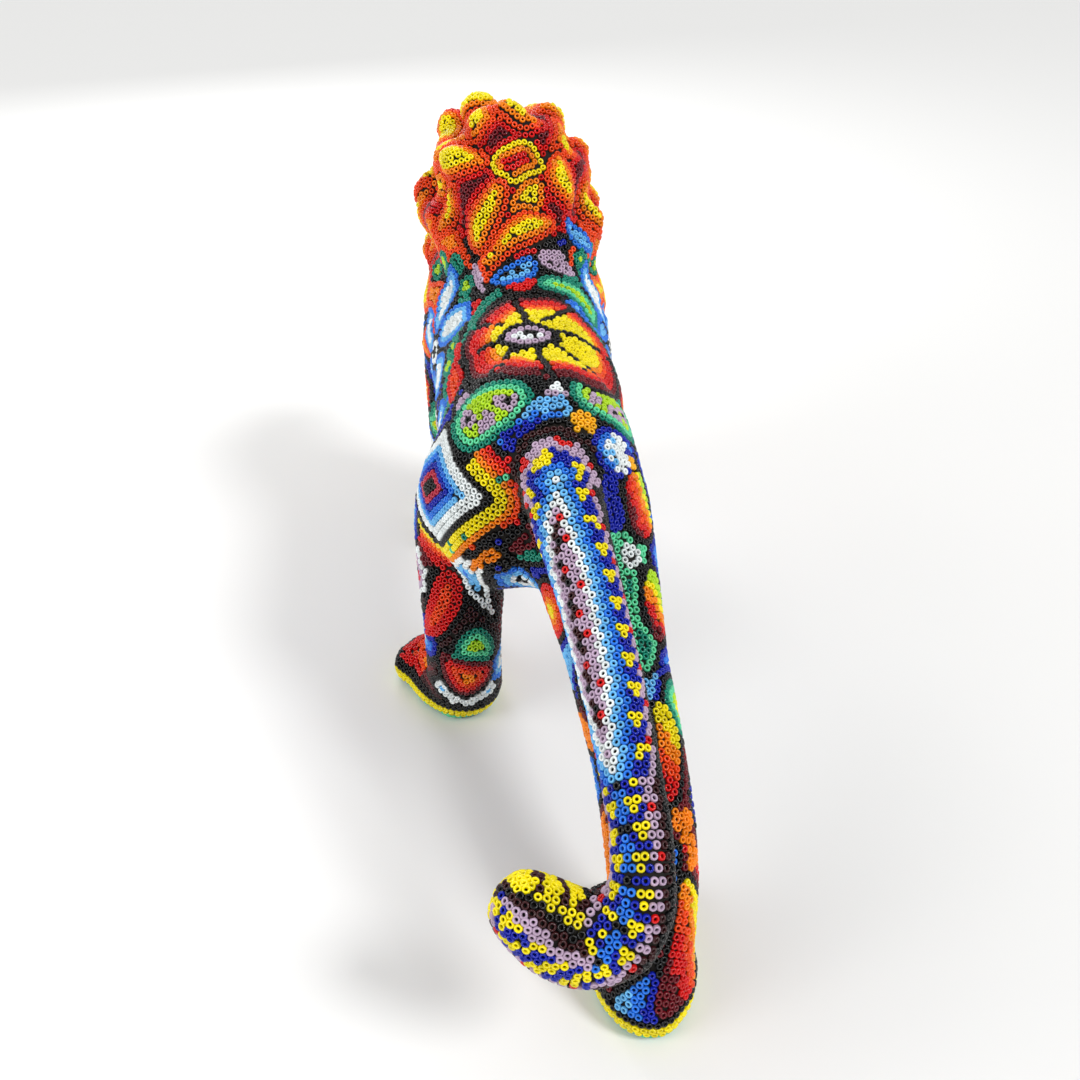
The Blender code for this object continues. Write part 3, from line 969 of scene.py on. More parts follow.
def rear_motifs():
    """The motifs round the tail's root, over the hips and on the back."""
    green_field = loop(*GREEN_LOBE)
    green_mirror = loop(*mirrored(GREEN_LOBE))
    kite = outline(*KITE)
    return [
        Motif("blue_arch", outline(
            (1.7, 8.2), (6.1, 7.2), (9.5, 8.8), (11.4, 3.7), (10, 1.6), (7.6, 0.9), (4, 1), (0.5, -0.3),
            (-2.6, -3), (-4.7, -5.7), (-6.8, -7.7), (-9.4, -6.1), (-11.7, -1.1), (-10.5, 0.6), (-6.2, 0.9),
            (-2.5, 4.1),
        ), ("blue",), (2, 44, 118), HEADWARD, 18, arch_paint),
        Motif("gold_spot", oval(3.4, 4.4), ("gold",), (-11, 44, 117), HEADWARD, 7),
        Motif("gold_spot_small", oval(1.8, 3.0), ("gold",), (-30.5, 48, 108), UPWARD, 6),
        Motif("white_spot", rosette(3.0, 3, 0.25), ("white",), (-4.6, 34.5, 123), HEADWARD, 6,
              lambda row, u, v, place: "lavender" if abs(u) > 1.5 or v < -0.5 else None),
        Motif("flower_eye", leaf(6.6, 10.5), ("black", "lavender", "white"), (0.5, 6, 127), (1, 0, 0), 15,
              dots((0, 0), (0, 2.2), (0, -2.2))),
        Motif("flower_lines", flower_lines, ("black",), FLOWER_PLACE, HEADWARD, 36),
        Motif("flower", flower_rim,
              ("black", "maroon", "maroon", "red", "red", "ember", "orange", "yellow"),
              FLOWER_PLACE, HEADWARD, 36, flower_paint, field=flower_rim),
        Motif("green_left", green_field, ("teal", "mint", "lime"),
              (15, 37, 115), HEADWARD, 20, blobs((7, 1), (0, -0.5), (-5, 5)), field=green_field),
        Motif("green_right", green_mirror, ("teal", "mint", "lime"),
              (-21, 34, 114), HEADWARD, 20, blobs((-7, 1), (0, -0.5), (5, 5)), field=green_mirror),
        Motif("star_field", loop(
            (-5.3, 7.8), (1.7, 10.3), (8, 11), (10.5, 6.1), (8, 0), (6.1, -2.3), (4.1, -5.2), (-0.7, -5.8),
            (-5.7, -4.1), (-7.5, 0.5),
        ), ("navy", "blue", "sky"), (-18, 51, 111), HEADWARD, 16, star((2, 2.5), 6, 6.0, "white")),
        Motif("navy_column", outline(
            (2.1, 9.3), (5.1, 5.6), (3.2, 0.4), (3.2, -6.3), (0.7, -7.6), (-2.9, -6.6), (-2.6, -2.2),
            (-2.7, 4.9),
        ), ("navy",), (-17, 61, 101), UPWARD, 13),
        Motif("kite", kite, ("white", "white", "sky", "blue", "navy", "rose", "black", "maroon"),
              (29, 38, 95), UPWARD, 44),
        Motif("chevron", outline(
            (7.8, 11.1), (8.8, 15.1), (11.9, 19.5), (20, 18.8), (25.9, 17.3), (29.3, 1.4), (25.9, -2.2),
            (20.9, -6.2), (16.7, -11.2), (8.7, -19.2), (-6.5, -34.5), (-11.6, -34.8), (-16.5, -36.3),
            (-19, -30.5), (-16.5, -19.1), (-6.8, -25.2), (18.6, 4.4),
        ), KITE_ROWS, (29, 38, 95), UPWARD, 44, chevron_paint, field=lambda u, v: -kite(u, v)),
        Motif("under_leaf", loop(
            (-3.4, -1.2), (-0.7, 2.4), (2.6, 6.9), (5.1, 0.6), (-1.2, -5.1), (-3.8, -4),
        ), ("maroon", "red", "ember"), (7, 55, 87), UPWARD, 11),
        Motif("gold_drop", loop((1.6, 5.1), (5.5, 1.4), (0.4, -1.7), (-6.7, -6.9), (-3.5, -1.1)),
              ("orange", "gold"), (17, 51, 78), UPWARD, 12),
        Motif("belly_green", loop((-5.5, -3.3), (0.2, 1.9), (4, 4.1), (4.7, 1.6), (-1.2, -1.6)),
              ("teal", "mint"), (5, 55, 82), UPWARD, 10),
        Motif("hip_leaf_upper", loop(
            (-3.4, 9), (-6.7, 3.7), (-7.1, -2.4), (-5.3, -6.8), (-1, -9), (4.7, -8.4), (9, -2), (8.7, 5.6),
            (3, 10),
        ), ("maroon",), (-26, 53, 95), UPWARD, 14,
              by_u((-4, "maroon"), (-1.5, "red"), (1.5, "ember"), (4, "orange"), (6.5, "yellow"),
                   (FAR, "lime"))),
        Motif("hip_leaf_lower", loop(
            (-7.6, -6.5), (-6.1, -0.5), (-2, 4.5), (2.4, 7.3), (8.7, 7.2), (9, 0), (4, -8),
        ), ("maroon",), (-28, 73, 77), UPWARD, 14,
              by_u((-3.5, "maroon"), (-0.5, "red"), (2.5, "orange"), (5, "yellow"), (FAR, "lime"))),
        Motif("white_spots", rosette(3.6, 3, 0.12), ("white",), (-22, 65, 88), UPWARD, 7),
        Motif("teal_field", outline(
            (1.2, 14), (1.5, 17.9), (6.3, 17), (7.4, 13.2), (12.7, 9.6), (11.9, 6.9), (4.5, 5.5), (1.9, 0.8),
            (-1.8, -3.7), (-2.6, -8.2), (0.2, -13.6), (-4.2, -17.3), (-9.9, -19.4), (-10, -15.8),
            (-7.5, -9.6), (-5.4, -5.2), (-2.4, 3),
        ), ("mint", "teal", "teal"), (-22, 74, 82), UPWARD, 24),
    ]


def hind_leg_motifs():
    return [
        Motif("red_ellipse", loop(
            (-1.1, 10.6), (3, 9.1), (4.8, 5), (5.3, 0.1), (3.3, -4.8), (-0.3, -10.5), (-9.1, -13.9),
            (-9.3, -8.4), (-6.3, 0.4), (-5, 6.6),
        ), ("red", "red", "ember", "orange", "yellow"), (30, 36, 52), UPWARD, 18),
        Motif("blue_leg_arch", loop(
            (-10.7, 18.3), (-3.7, 27), (2.5, -5.9), (0.4, -6), (-3.2, -0.3), (-5.7, 2.3),
        ), ("white", "sky", "blue", "navy", "black"), (16, 35, 53), UPWARD, 30),
        Motif("green_house", outline(
            (1.3, 6), (5.4, 1.6), (7.8, -4.2), (5.9, -9.2), (-1.3, -6.3), (-7.4, -4.5), (-6.1, 1.5),
            (-3.2, 4.4),
        ), ("teal", "mint", "lime", "white"), (20, 41, 40), UPWARD, 13),
        Motif("red_half", loop(
            (-9.5, 6.8), (-3.6, 6.9), (2.3, 4.5), (9.5, 0.9), (8.8, -5), (4.7, -9.9), (-0.4, -12.1),
            (-4.8, -10), (-8.3, -2.8),
        ), ("maroon", "red", "ember", "orange", "gold"), (23, 41, 28), UPWARD, 15),
        Motif("blue_white_row", outline(
            (-13.5, -3.6), (-8.4, 3.3), (-5.4, -2.5), (0.1, -5), (5.3, -3.2), (9.4, -0.7), (13.1, -6.3),
            (10.8, -7.8), (5.3, -8.6), (0.1, -8.6), (-5.2, -8.3), (-10, -5.6),
        ), ("white", "sky", "blue"), (24, 39, 19), UPWARD, 18),
        Motif("band_right", loop(
            (5.9, 11.6), (9.7, 8.3), (8.7, 2.1), (2, -4.1), (-4.2, -8.3), (-8.8, -8.5), (-11.3, -2.5),
            (-1.2, 3.2),
        ), ("red",), (-26, 109, 59), UPWARD, 15,
              by_u((-3.5, "red"), (0, "ember"), (4, "orange"), (FAR, "yellow"))),
        Motif("maroon_big", loop(
            (7, 15.7), (9.6, 9.5), (11, 0), (9, -10), (2, -17.5), (-9.3, -16.2), (-11.2, -13), (-6.5, -4.2),
            (-0.5, 4.9), (3, 12.7),
        ), ("maroon",), (-25, 140, 25), UPWARD, 20,
              by_u((-3, "maroon"), (1, "red"), (4, "ember"), (6.5, "orange"), (FAR, "yellow"))),
        Motif("fan", outline(
            (-9.2, -6.3), (-4.5, -0.5), (0.1, 4.8), (3.1, 8.4), (5.1, 4.1), (4.1, -2.3), (6.2, -6.1),
            (-0.8, -6.5), (-5.4, -7.8),
        ), ("blue",), (-14, 146, 14), UPWARD, 13,
              by_u((-5.5, "white"), (-1.5, "sky"), (2, "blue"), (FAR, "navy"))),
    ]


def back_motifs():
    """The motifs on the back between the flower and the mane."""
    return [
        Motif("leaf_blue_top", loop(
            (-8.8, -2.8), (-6, 1.6), (-1.4, 3), (4.5, 5.2), (7.4, 3), (6.7, -1.5), (2.5, -4.9), (-4.1, -5.8),
        ), ("blue", "sky", "white"), (2, -31, 131), HEADWARD, 12, dots((-3, -1), (1, 0.4))),
        Motif("lavender_leaf", loop(
            (-7.3, -1.6), (-3.9, 1.8), (0.2, 4.3), (4.5, 2.5), (9.5, 2), (2.7, -2.8), (-3.5, -4.2),
        ), ("lavender", "lavender", "rose", "red"), (-12, -37, 131), HEADWARD, 12),
        Motif("red_triangle", loop((-4.5, -1), (0.3, 2.7), (3.9, 4.3), (3.3, -0.9), (-0.6, -3.2)),
              ("red", "rose", "white"), (0, -25, 129), HEADWARD, 8),
        Motif("leaf_blue_right", loop(
            (-7.4, -1.6), (-6, 1.1), (0, 4.1), (4.6, 3.6), (10.1, 2.7), (3.2, -4.8), (-2.1, -4.9),
        ), ("blue", "sky", "white"), (-20, -51, 134), HEADWARD, 13),
        Motif("green_band_right", outline(
            (-11.9, 2.8), (-8.3, 7.2), (-1.9, 9.1), (3.8, 11.2), (9, 7.9), (13.6, 5.5), (12.9, -4.1),
            (8.3, -4.4), (4.5, -0.3), (-1.6, 0.3), (-7.8, -0.8), (-11.2, -1.4),
        ), GREENS, (-15, -25, 124), HEADWARD, 18),
        Motif("green_band_left", outline(
            (7.8, 13.6), (8.1, 9.6), (4.8, 7.4), (1.8, 3.8), (0.1, -5.5), (-3.4, -12.9), (-8.4, -16.7),
            (-9.5, -12.1), (-6.3, -3), (-4.2, 5.1), (0.3, 10.3), (4.3, 12.6),
        ), GREENS, (14, -12, 123), HEADWARD, 20),
        Motif("red_yellow_leaf", loop(
            (-7.9, 3.4), (2.3, 3.4), (4.4, 1.4), (9.2, -4.5), (-1.5, -5.5), (-5.7, -1.9),
        ), ("red", "ember", "orange", "yellow"), (23, 6, 113), UPWARD, 13),
        Motif("lavender_small", oval(3, 3), ("lavender",), (21, 22, 114), UPWARD, 6),
        Motif("lavender_strip", leaf(2.2, 8), ("lavender",), (14.4, -34, 127.5), HEADWARD, 11),
        Motif("red_small", oval(2.1, 4.0), ("red",), (15.6, -22, 122.6), HEADWARD, 7),
        Motif("red_wedge", oval(2.4, 4.4), ("red",), (21.5, -5, 116.5), HEADWARD, 7),
    ]


def flank_motifs():
    """A round flower on each flank, and a chain of small green ovals above it."""
    found = []
    for side, name in ((1, "left"), (-1, "right")):
        middle = (side * 29.5, -33, 103)
        found.append(Motif("flank_eye_" + name, oval(4.6, 4.6), ("white", "lavender", "black"),
                           middle, UPWARD, 8, star((0, 0), 4, 3.2, "black", 0.8)))
        for k in range(FLANK_PETALS):
            turn = 2 * pi * k / FLANK_PETALS + pi / 6
            petal = turned(leaf(7.2, 12.4), turn, 17.4)
            found.append(Motif("flank_petal_%s_%d" % (name, k), petal, COOL[1:], middle, UPWARD, 34))
        for k, y in enumerate(np.arange(CHAIN[0][0], CHAIN[-1][0], 8.2).tolist()):
            ys, xs, zs = zip(*CHAIN)
            place = (side * float(np.interp(y, ys, xs)), y, float(np.interp(y, ys, zs)))
            link = oval(3.9, 4.3)
            found.append(Motif("chain_%s_%d" % (name, k), link, ("teal", "lime"), place, HEADWARD, 8))
    return found


def turned(shape, angle, out):
    """A shape turned about the chart's middle, after being moved out along v."""

    def inside(u, v):
        return shape(u * cos(angle) + v * sin(angle), v * cos(angle) - u * sin(angle) - out)

    return inside


def swollen(make):
    """Makes the same kind of shape, but wider all round, so that neighbours overlap."""

    def made(*values):
        shape = make(*values)
        return lambda u, v: shape(u, v) + LOCK_SWELL

    return made


def on_ruff(turn, back, lift=0.0):
    """A place over the ruff, by its angle round the face and its angle back from the face."""
    a = radians(turn)
    b = radians(back)
    way = np.array((sin(b) * sin(a), -cos(b), sin(b) * cos(a)))
    return np.array(RUFF_MIDDLE) + way * (np.array(RUFF_RADII) + lift)


def mane_motifs():
    """The locks seen from behind, then the rest of the ruff's locks in rings."""
    lock = ("ember", "orange", "yellow")
    found = [
        Motif("lock_left_long", swollen(loop)(
            (6.4, 7.3), (0.2, 4.9), (-5.3, 1.1), (-7.7, -4.4), (-5.7, -9.5), (-0.3, -5.1), (5.8, 0.1),
            (9.1, 5.3),
        ), lock, (10, -47, 143), HEADWARD, 14, rises=2.4),
        Motif("lock_diagonal", swollen(loop)(
            (10.8, 8.1), (16.8, 3.9), (8.3, 0.2), (-0.1, -1.3), (-7.4, -4.6), (-10.7, -8.5), (-11.5, -5.1),
            (-8.1, -0.1), (-0.4, 5.1), (6.4, 7.9),
        ), lock, (4, -38, 136), HEADWARD, 20, rises=2.4),
        Motif("lock_left_up", swollen(loop)(
            (7.8, -2.5), (4.7, 1.8), (-2.8, 8.5), (-8.3, 8.4), (-8, 0.2), (-2.4, -3.3), (4.3, -3.1),
        ), lock, (17, -62, 155), HEADWARD, 13, rises=2.4),
        Motif("crown", swollen(loop)(
            (1.1, 7.6), (7.9, 4.5), (4.6, -0.4), (-0.3, -6.6), (-8.4, -2.2), (-3.8, 3.1),
        ), ("yellow", "orange", "red", "maroon"), (0, -55, 157), HEADWARD, 13),
        Motif("lock_column", swollen(leaf)(3.0, 7.5), ("orange", "yellow"), (-3.5, -48, 146), HEADWARD, 12),
    ]
    for n, (place, wide, long, bend, rise) in enumerate(LOCKS):
        shape = swollen(leaf)(wide - LOCK_SWELL, long, bend)
        found.append(Motif("lock_%d" % n, shape, lock, place, UPWARD, long + 4, rises=rise))
    taken = [motif.place for motif in found]
    for ring, (number, first, start, end) in enumerate(LOCK_RINGS):
        for n in range(number):
            turn = first + 360 * n / number
            side = -1 if turn % 360 > 180 else 1
            middle = on_ruff(turn + side * 4, (start + end) / 2, 3)
            toward = on_ruff(turn, start) - on_ruff(turn + side * 10, end)
            if min(np.linalg.norm(middle - np.array(place)) for place in taken) < LOCKS_APART:
                continue
            half = 0.5 * np.linalg.norm(toward) + 2.5
            found.append(Motif("ring_lock_%d_%d" % (ring, n), swollen(leaf)(5.2, half, side * 2.0), lock,
                               tuple(middle), tuple(toward), half + 4, rises=1.6))
    return found


def mane_ground(points):
    """The ruff between the locks, down to where the painted-looking back begins."""
    x, y, z = points.T
    behind = -33 - 0.9 * np.abs(x) - 0.25 * (135 - z)
    return np.minimum(behind - y, z - 86).clip(-FAR, FAR)


def face_ground(points):
    _, y, z = points.T
    return np.minimum(-104 - y, z - 104).clip(-FAR, FAR)


def face_motifs():
    """A plain lion's face: eyes, nose, mouth, cheeks, forehead and ears."""
    found = [
        Motif("nose", outline((-5, 2.2), (5, 2.2), (0, -4.4)), ("black", "brown"), (0, -147, 138), UPWARD, 8),
        Motif("muzzle_line", leaf(1.1, 6), ("black",), (0, -145, 128), UPWARD, 9),
        Motif("mouth", outline((-8, 1.4), (8, 1.4), (8, -1.4), (-8, -1.4)), ("rose",), (0, -142, 122),
              UPWARD, 11),
        Motif("forehead", leaf(5, 9), WARM, (0, -116, 157), UPWARD, 12),
    ]
    for side, name in ((1, "left"), (-1, "right")):
        found.append(Motif("eye_" + name, leaf(5.0, 6.8), ("black", "white", "black"),
                           (side * 9.5, -127, 146), (side * 1.0, 0, -0.2), 10))
        found.append(Motif("brow_" + name, leaf(2.2, 6.5), ("black", "red"),
                           (side * 10, -121, 153), (side, 0, 0.1), 10))
        found.append(Motif("cheek_" + name, oval(5.6, 5.6), ("black", "red", "orange", "yellow"),
                           (side * 17, -120, 130), UPWARD, 8))
        found.append(Motif("ear_" + name, leaf(5.2, 7.5), ("red", "orange", "yellow", "black"),
                           (side * 18, -106, 160), UPWARD, 10))
        found.append(Motif("muzzle_" + name, oval(4.4, 4.0), ("yellow", "white"),
                           (side * 7, -141, 131), UPWARD, 7))
    return found


def paw_rims(points):
    """Bands of rows round the foot of each paw."""
    return PAW_RIM - points[:, 2]


def front_motifs():
    """Chest and foreleg motifs."""
    found = [
        Motif("chest_sun_eye", oval(4, 4), ("black", "white"), (0, -112, 96), UPWARD, 7),
        Motif("chest_sun", rosette(13, 8, 0.12), ("black", "yellow", "gold", "orange", "red"),
              (0, -112, 96), UPWARD, 19),
    ]
    legs = (("left", (30, -64, 74), (31, -70, 38)), ("right", (-31, -80, 74), (-31, -105, 38)))
    for name, top, foot in legs:
        found.append(Motif("foreleg_disc_" + name, rosette(9, 6, 0.1),
                           ("black", "red", "orange", "yellow", "black"), top, UPWARD, 13))
        found.append(Motif("foreleg_leaf_" + name, leaf(7, 13), COOL, foot, UPWARD, 17))
    return found


def ground_colour(row, u, v, place):
    """The ground between motifs: a black outline, then quiet dark rows."""
    if row == 0:
        return "black"
    y, z = place[1], place[2]
    if z < 60 and y < -40:
        rows = ("blue", "sky", "white") if z > 26 else ("red", "ember", "orange", "yellow")
    elif z < 60 and y < 22:
        rows = ("red", "ember", "orange")
    elif z < 60:
        rows = ("maroon", "red", "orange") if y > 90 else ("brown", "maroon", "black")
    elif y < -60:
        rows = ("blue", "sky", "white")
    else:
        rows = ("navy", "blue", "sky")
    return rows[min(row - 1, len(rows) - 1)]


FILLER_ROWS = (
    ("red", "ember", "orange", "yellow"),
    ("blue", "sky", "white", "black"),
    ("teal", "mint", "lime", "yellow"),
    ("maroon", "red", "orange", "black"),
    ("navy", "blue", "sky", "white"),
    ("white", "lavender", "rose", "black"),
)


def filler_motifs(skin, motifs):
    """Small discs and flowers wherever the motifs leave wide ground."""
    free = np.full(len(skin.points), FAR)
    for motif in motifs:
        free = np.minimum(free, -motif.depth)
    candidates = np.nonzero(skin.points[:, 2] > PAW_RIM + FILLER_START)[0]
    found = []
    while len(found) < FILLERS:
        best = candidates[free[candidates].argmax()]
        if free[best] < FILLER_ROOM:
            break
        radius = min(free[best] - FILLER_GROUND, FILLER_LARGEST)
        n = len(found)
        shape = rosette(radius, 5 + n % 3, 0.1) if n % 2 else oval(radius, radius * 0.92)
        found.append(Motif("filler_%d" % n, shape, FILLER_ROWS[n % len(FILLER_ROWS)],
                           tuple(skin.points[best]), UPWARD, radius + 3))
        away = np.linalg.norm(skin.points - skin.points[best], axis=1) - radius
        free = np.minimum(free, away)
    return found


# ---- Beads and bed ----


class Spacing:
    """Places that keep a distance from each other, sorted into cells of that size."""

    def __init__(self, distance):
        self.distance = distance
        self.cells = {}

    def take(self, place):
        """Takes a place, unless one that is already taken is too close to it."""
        x, y, z = (place // self.distance).astype(int).tolist()
        for dx, dy, dz in product((-1, 0, 1), repeat=3):
            for other in self.cells.get((x + dx, y + dy, z + dz), ()):
                if np.linalg.norm(other - place) < self.distance:
                    return False
        self.cells.setdefault((x, y, z), []).append(place)
        return True


def fill_gaps(skin, motifs, beads):
    """Sets a bead wherever the rows left room for one more."""
    for _ in range(GAP_ROUNDS):
        tree = near_tree(beads.places)
        room = np.array([tree.find(point)[2] for point in skin.points.tolist()])
        order = np.argsort(-room)
        order = order[room[order] > GAP]
        fresh = Spacing(GAP)
        for vertex in order.tolist():
            place = skin.points[vertex]
            if not standing_clear(place, skin.normals[vertex]) or not fresh.take(place):
                continue
            number = int(np.argmax([motif.visible[vertex] for motif in motifs]))
            motif = motifs[number]
            depth = motif.own[vertex] if motif.field is not None else motif.visible[vertex]
            row = max(int(depth / ROW), 0)
            if motif.rows is None:
                row = int(max(motif.flat[vertex, 0] - PANEL_TOP + ARCH_RADIUS, 0) / TAIL_ROW + 0.5)
            beads.add(place, vertex, np.zeros(3), number, row, motif.flat[vertex])
        if not fresh.cells:
            break


def standing_clear(place, normal):
    """False on the soles, which are bare wood."""
    facing_down = normal[2] < SOLE_TURN and place[2] < SOLE_CLEAR + SOLE_EDGE
    return place[2] > SOLE_CLEAR and not facing_down


def thin_out(skin, beads):
    """Drops each bead that is too close to one already set, and every bead on a sole."""
    taken = Spacing(CLOSEST)
    kept = []
    for k, place in enumerate(beads.places):
        if standing_clear(place, skin.normals[beads.notes[k][0]]) and taken.take(place):
            kept.append(k)
    beads.places = [beads.places[k] for k in kept]
    beads.notes = [beads.notes[k] for k in kept]


def settle(skin, tree, beads):
    """Lets crowded beads push each other apart, mostly along their own rows."""
    places = np.array(beads.places)
    ways = np.array([note[1] for note in beads.notes])
    free = np.linalg.norm(ways, axis=1) < 0.5
    reach = PITCH * SETTLE_REACH
    for _ in range(SETTLE_ROUNDS):
        near = near_tree(places.tolist())
        pairs = []
        for k, place in enumerate(places.tolist()):
            pairs.extend((k, other) for _, other, _ in near.find_range(place, reach) if other > k)
        first, second = np.array(pairs).T
        step = places[first] - places[second]
        far = np.linalg.norm(step, axis=1)
        push = step / far[:, None] * ((reach - far) * SETTLE_PUSH)[:, None]
        move = np.zeros_like(places)
        np.add.at(move, first, push)
        np.add.at(move, second, -push)
        along = (move * ways).sum(axis=1)[:, None] * ways
        move = np.where(free[:, None], move, along * ROW_SHARE + move * (1 - ROW_SHARE))
        places = places + move
        for k, place in enumerate(places.tolist()):
            hit, _, face, _ = tree.find_nearest(place)
            places[k] = hit
            note = beads.notes[k]
            beads.notes[k] = (int(skin.triangles[face, 0]),) + note[1:]
    beads.places = list(places)


def bead_profile():
    """A seed bead's section: distances from its hole's axis and heights, going round it once."""
    out = BEAD_RADIUS
    hole = BEAD_HOLE
    half = BEAD_HEIGHT / 2
    return (
        (out * 0.86, -half),
        (out, -half * 0.1),
        (out * 0.90, half * 0.66),
        (out * 0.70, half),
        (hole * 1.22, half * 0.74),
        (hole * 0.92, -half * 0.2),
    )


def bead_mesh(name, places, normals, shades, skin, random):
    """One mesh of many beads, their holes facing out of the skin."""
    profile = np.array(bead_profile())
    turns = np.arange(BEAD_SIDES) * 2 * pi / BEAD_SIDES
    count = len(places)
    rings = len(profile)
    base_x = (profile[:, 0, None] * np.cos(turns)).ravel()
    base_y = (profile[:, 0, None] * np.sin(turns)).ravel()
    base_z = np.repeat(profile[:, 1], BEAD_SIDES)
    lean = unit(normals + random.normal(0, TILT, (count, 3)))
    helper = np.where(np.abs(lean[:, 2:3]) < 0.9, (0.0, 0.0, 1.0), (1.0, 0.0, 0.0))
    right = unit(np.cross(helper, lean))
    up = np.cross(lean, right)
    spin = random.uniform(0, 2 * pi / BEAD_SIDES, count)
    right, up = (
        right * np.cos(spin)[:, None] + up * np.sin(spin)[:, None],
        up * np.cos(spin)[:, None] - right * np.sin(spin)[:, None],
    )
    wide = random.normal(1, SIZE_SPREAD, count).clip(*SIZE_LIMITS)
    tall = random.normal(1, SIZE_SPREAD * 2, count).clip(*HEIGHT_LIMITS)
    centres = places - lean * (BEAD_HEIGHT / 2 + random.uniform(0, SINK, count))[:, None]
    points = (
        centres[:, None, :]
        + right[:, None, :] * (base_x * wide[:, None])[:, :, None]
        + up[:, None, :] * (base_y * wide[:, None])[:, :, None]
        + lean[:, None, :] * (base_z * tall[:, None])[:, :, None]
    ).reshape(-1, 3)
    ring = np.arange(rings)[:, None]
    side = np.arange(BEAD_SIDES)[None, :]
    next_ring = (ring + 1) % rings
    next_side = (side + 1) % BEAD_SIDES
    corners = ((ring, side), (ring, next_side), (next_ring, next_side), (next_ring, side))
    quads = np.stack([a * BEAD_SIDES + b for a, b in corners], axis=-1).reshape(-1, 4)
    faces = (quads[None] + (np.arange(count) * rings * BEAD_SIDES)[:, None, None]).reshape(-1, 4)
    used = sorted(set(shades))
    slots = np.repeat([used.index(shade) for shade in shades], len(quads))
    mesh = bpy.data.meshes.new(name)
    mesh.vertices.add(len(points))
    mesh.vertices.foreach_set("co", skin.to_frame(points).astype(np.float32).ravel())
    mesh.loops.add(len(faces) * 4)
    mesh.loops.foreach_set("vertex_index", faces.astype(np.int32).ravel())
    mesh.polygons.add(len(faces))
    mesh.polygons.foreach_set("loop_start", np.arange(len(faces), dtype=np.int32) * 4)
    mesh.polygons.foreach_set("material_index", slots.astype(np.int32))
    mesh.update(calc_edges=True)
    mesh.shade_smooth()
    for shade in used:
        mesh.materials.append(glass(*shade))
    return placed(name, mesh)


def nearest_nodes(prefix, points):
    """The CAD node whose surface is nearest each point, among those with a name prefix."""
    names = sorted(name for name in frame["nodes"] if name.startswith(prefix))
    corners = []
    faces = []
    owners = []
    for number, name in enumerate(names):
        mesh = frame["nodes"][name].data
        first = len(corners)
        corners.extend(tuple(v.co / MM) for v in mesh.vertices)
        for polygon in mesh.polygons:
            faces.append([first + v for v in polygon.vertices])
            owners.append(number)
    tree = BVHTree.FromPolygons(corners, faces)
    return [names[owners[tree.find_nearest(point)[2]]] for point in points.tolist()]


def stands_for(piece, node):
    """Shows a piece in a CAD node's stead, with the node hidden, and lets it ride with the carving."""
    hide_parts(node)
    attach(piece, "root")


def bead_pieces(skin, motifs, beads):
    """Makes the bead meshes, a few for each of the CAD's bead skins."""
    random = np.random.default_rng(SEED)
    places = np.array(beads.places)
    normals = unit(skin.normals[[note[0] for note in beads.notes]])
    shades = []
    for place, (_, _, number, row, flat) in zip(places, beads.notes):
        if motifs[number].rows is None:
            name = tail_colour(row, flat[0], flat[1])
        else:
            name = motifs[number].colour(row, flat[0], flat[1], place)
        shades.append((name, int(random.integers(len(SHADES)))))
    owners = np.array(nearest_nodes("beads_", places + skin.shift))
    for node in sorted(set(owners)):
        mine = np.nonzero(owners == node)[0]
        parts = ceil(len(mine) / BEADS_PER_PIECE)
        along = places[mine][:, np.ptp(places[mine], axis=0).argmax()]
        mine = mine[np.argsort(along, kind="stable")]
        for part, chosen in enumerate(np.array_split(mine, parts)):
            name = "glass_" + node + ("_%d" % (part + 1) if parts > 1 else "")
            own_shades = [shades[k] for k in chosen]
            piece = bead_mesh(name, places[chosen], normals[chosen], own_shades, skin, random)
            stands_for(piece, node)


def wax_beds(skin):
    """The wax that the beads are pressed into, one piece for each of the CAD's wax coats."""
    points = skin.points - unit(spread_over(skin.normals, skin.edges, 2)) * BED_DEPTH
    middles = points[skin.triangles].mean(axis=1) + skin.shift
    owners = np.array(nearest_nodes("wax_", middles))
    material = wax()
    for node in sorted(set(owners)):
        triangles = skin.triangles[owners == node]
        used, flat = np.unique(triangles, return_inverse=True)
        mesh = bpy.data.meshes.new("bed_" + node)
        mesh.from_pydata(skin.to_frame(points[used]).tolist(), [], flat.reshape(triangles.shape).tolist())
        mesh.shade_smooth()
        mesh.materials.append(material)
        stands_for(placed("bed_" + node, mesh), node)


# ---- Materials ----


def linear(code, scale=1.0):
    """A hex colour as the linear values that a shader takes."""
    values = [int(code[k : k + 2], 16) / 255 for k in (0, 2, 4)]
    values = [c / 12.92 if c <= 0.04045 else ((c + 0.055) / 1.055) ** 2.4 for c in values]
    return tuple(min(c * scale, 1.0) for c in values) + (1.0,)


def new_material(name):
    """A material and its shader."""
    made = bpy.data.materials.new(name)
    made.use_nodes = True
    return made, made.node_tree.nodes["Principled BSDF"]


def rough_up(material, ripple):
    """Gives a material's surface small lumps: their number per metre, strength and height in metres."""
    scale, strength, height = ripple
    nodes = material.node_tree.nodes
    links = material.node_tree.links
    lumps = nodes.new("ShaderNodeTexNoise")
    lumps.inputs["Scale"].default_value = scale
    bump = nodes.new("ShaderNodeBump")
    bump.inputs["Strength"].default_value = strength
    bump.inputs["Distance"].default_value = height
    links.new(lumps.outputs["Fac"], bump.inputs["Height"])
    links.new(bump.outputs["Normal"], nodes["Principled BSDF"].inputs["Normal"])


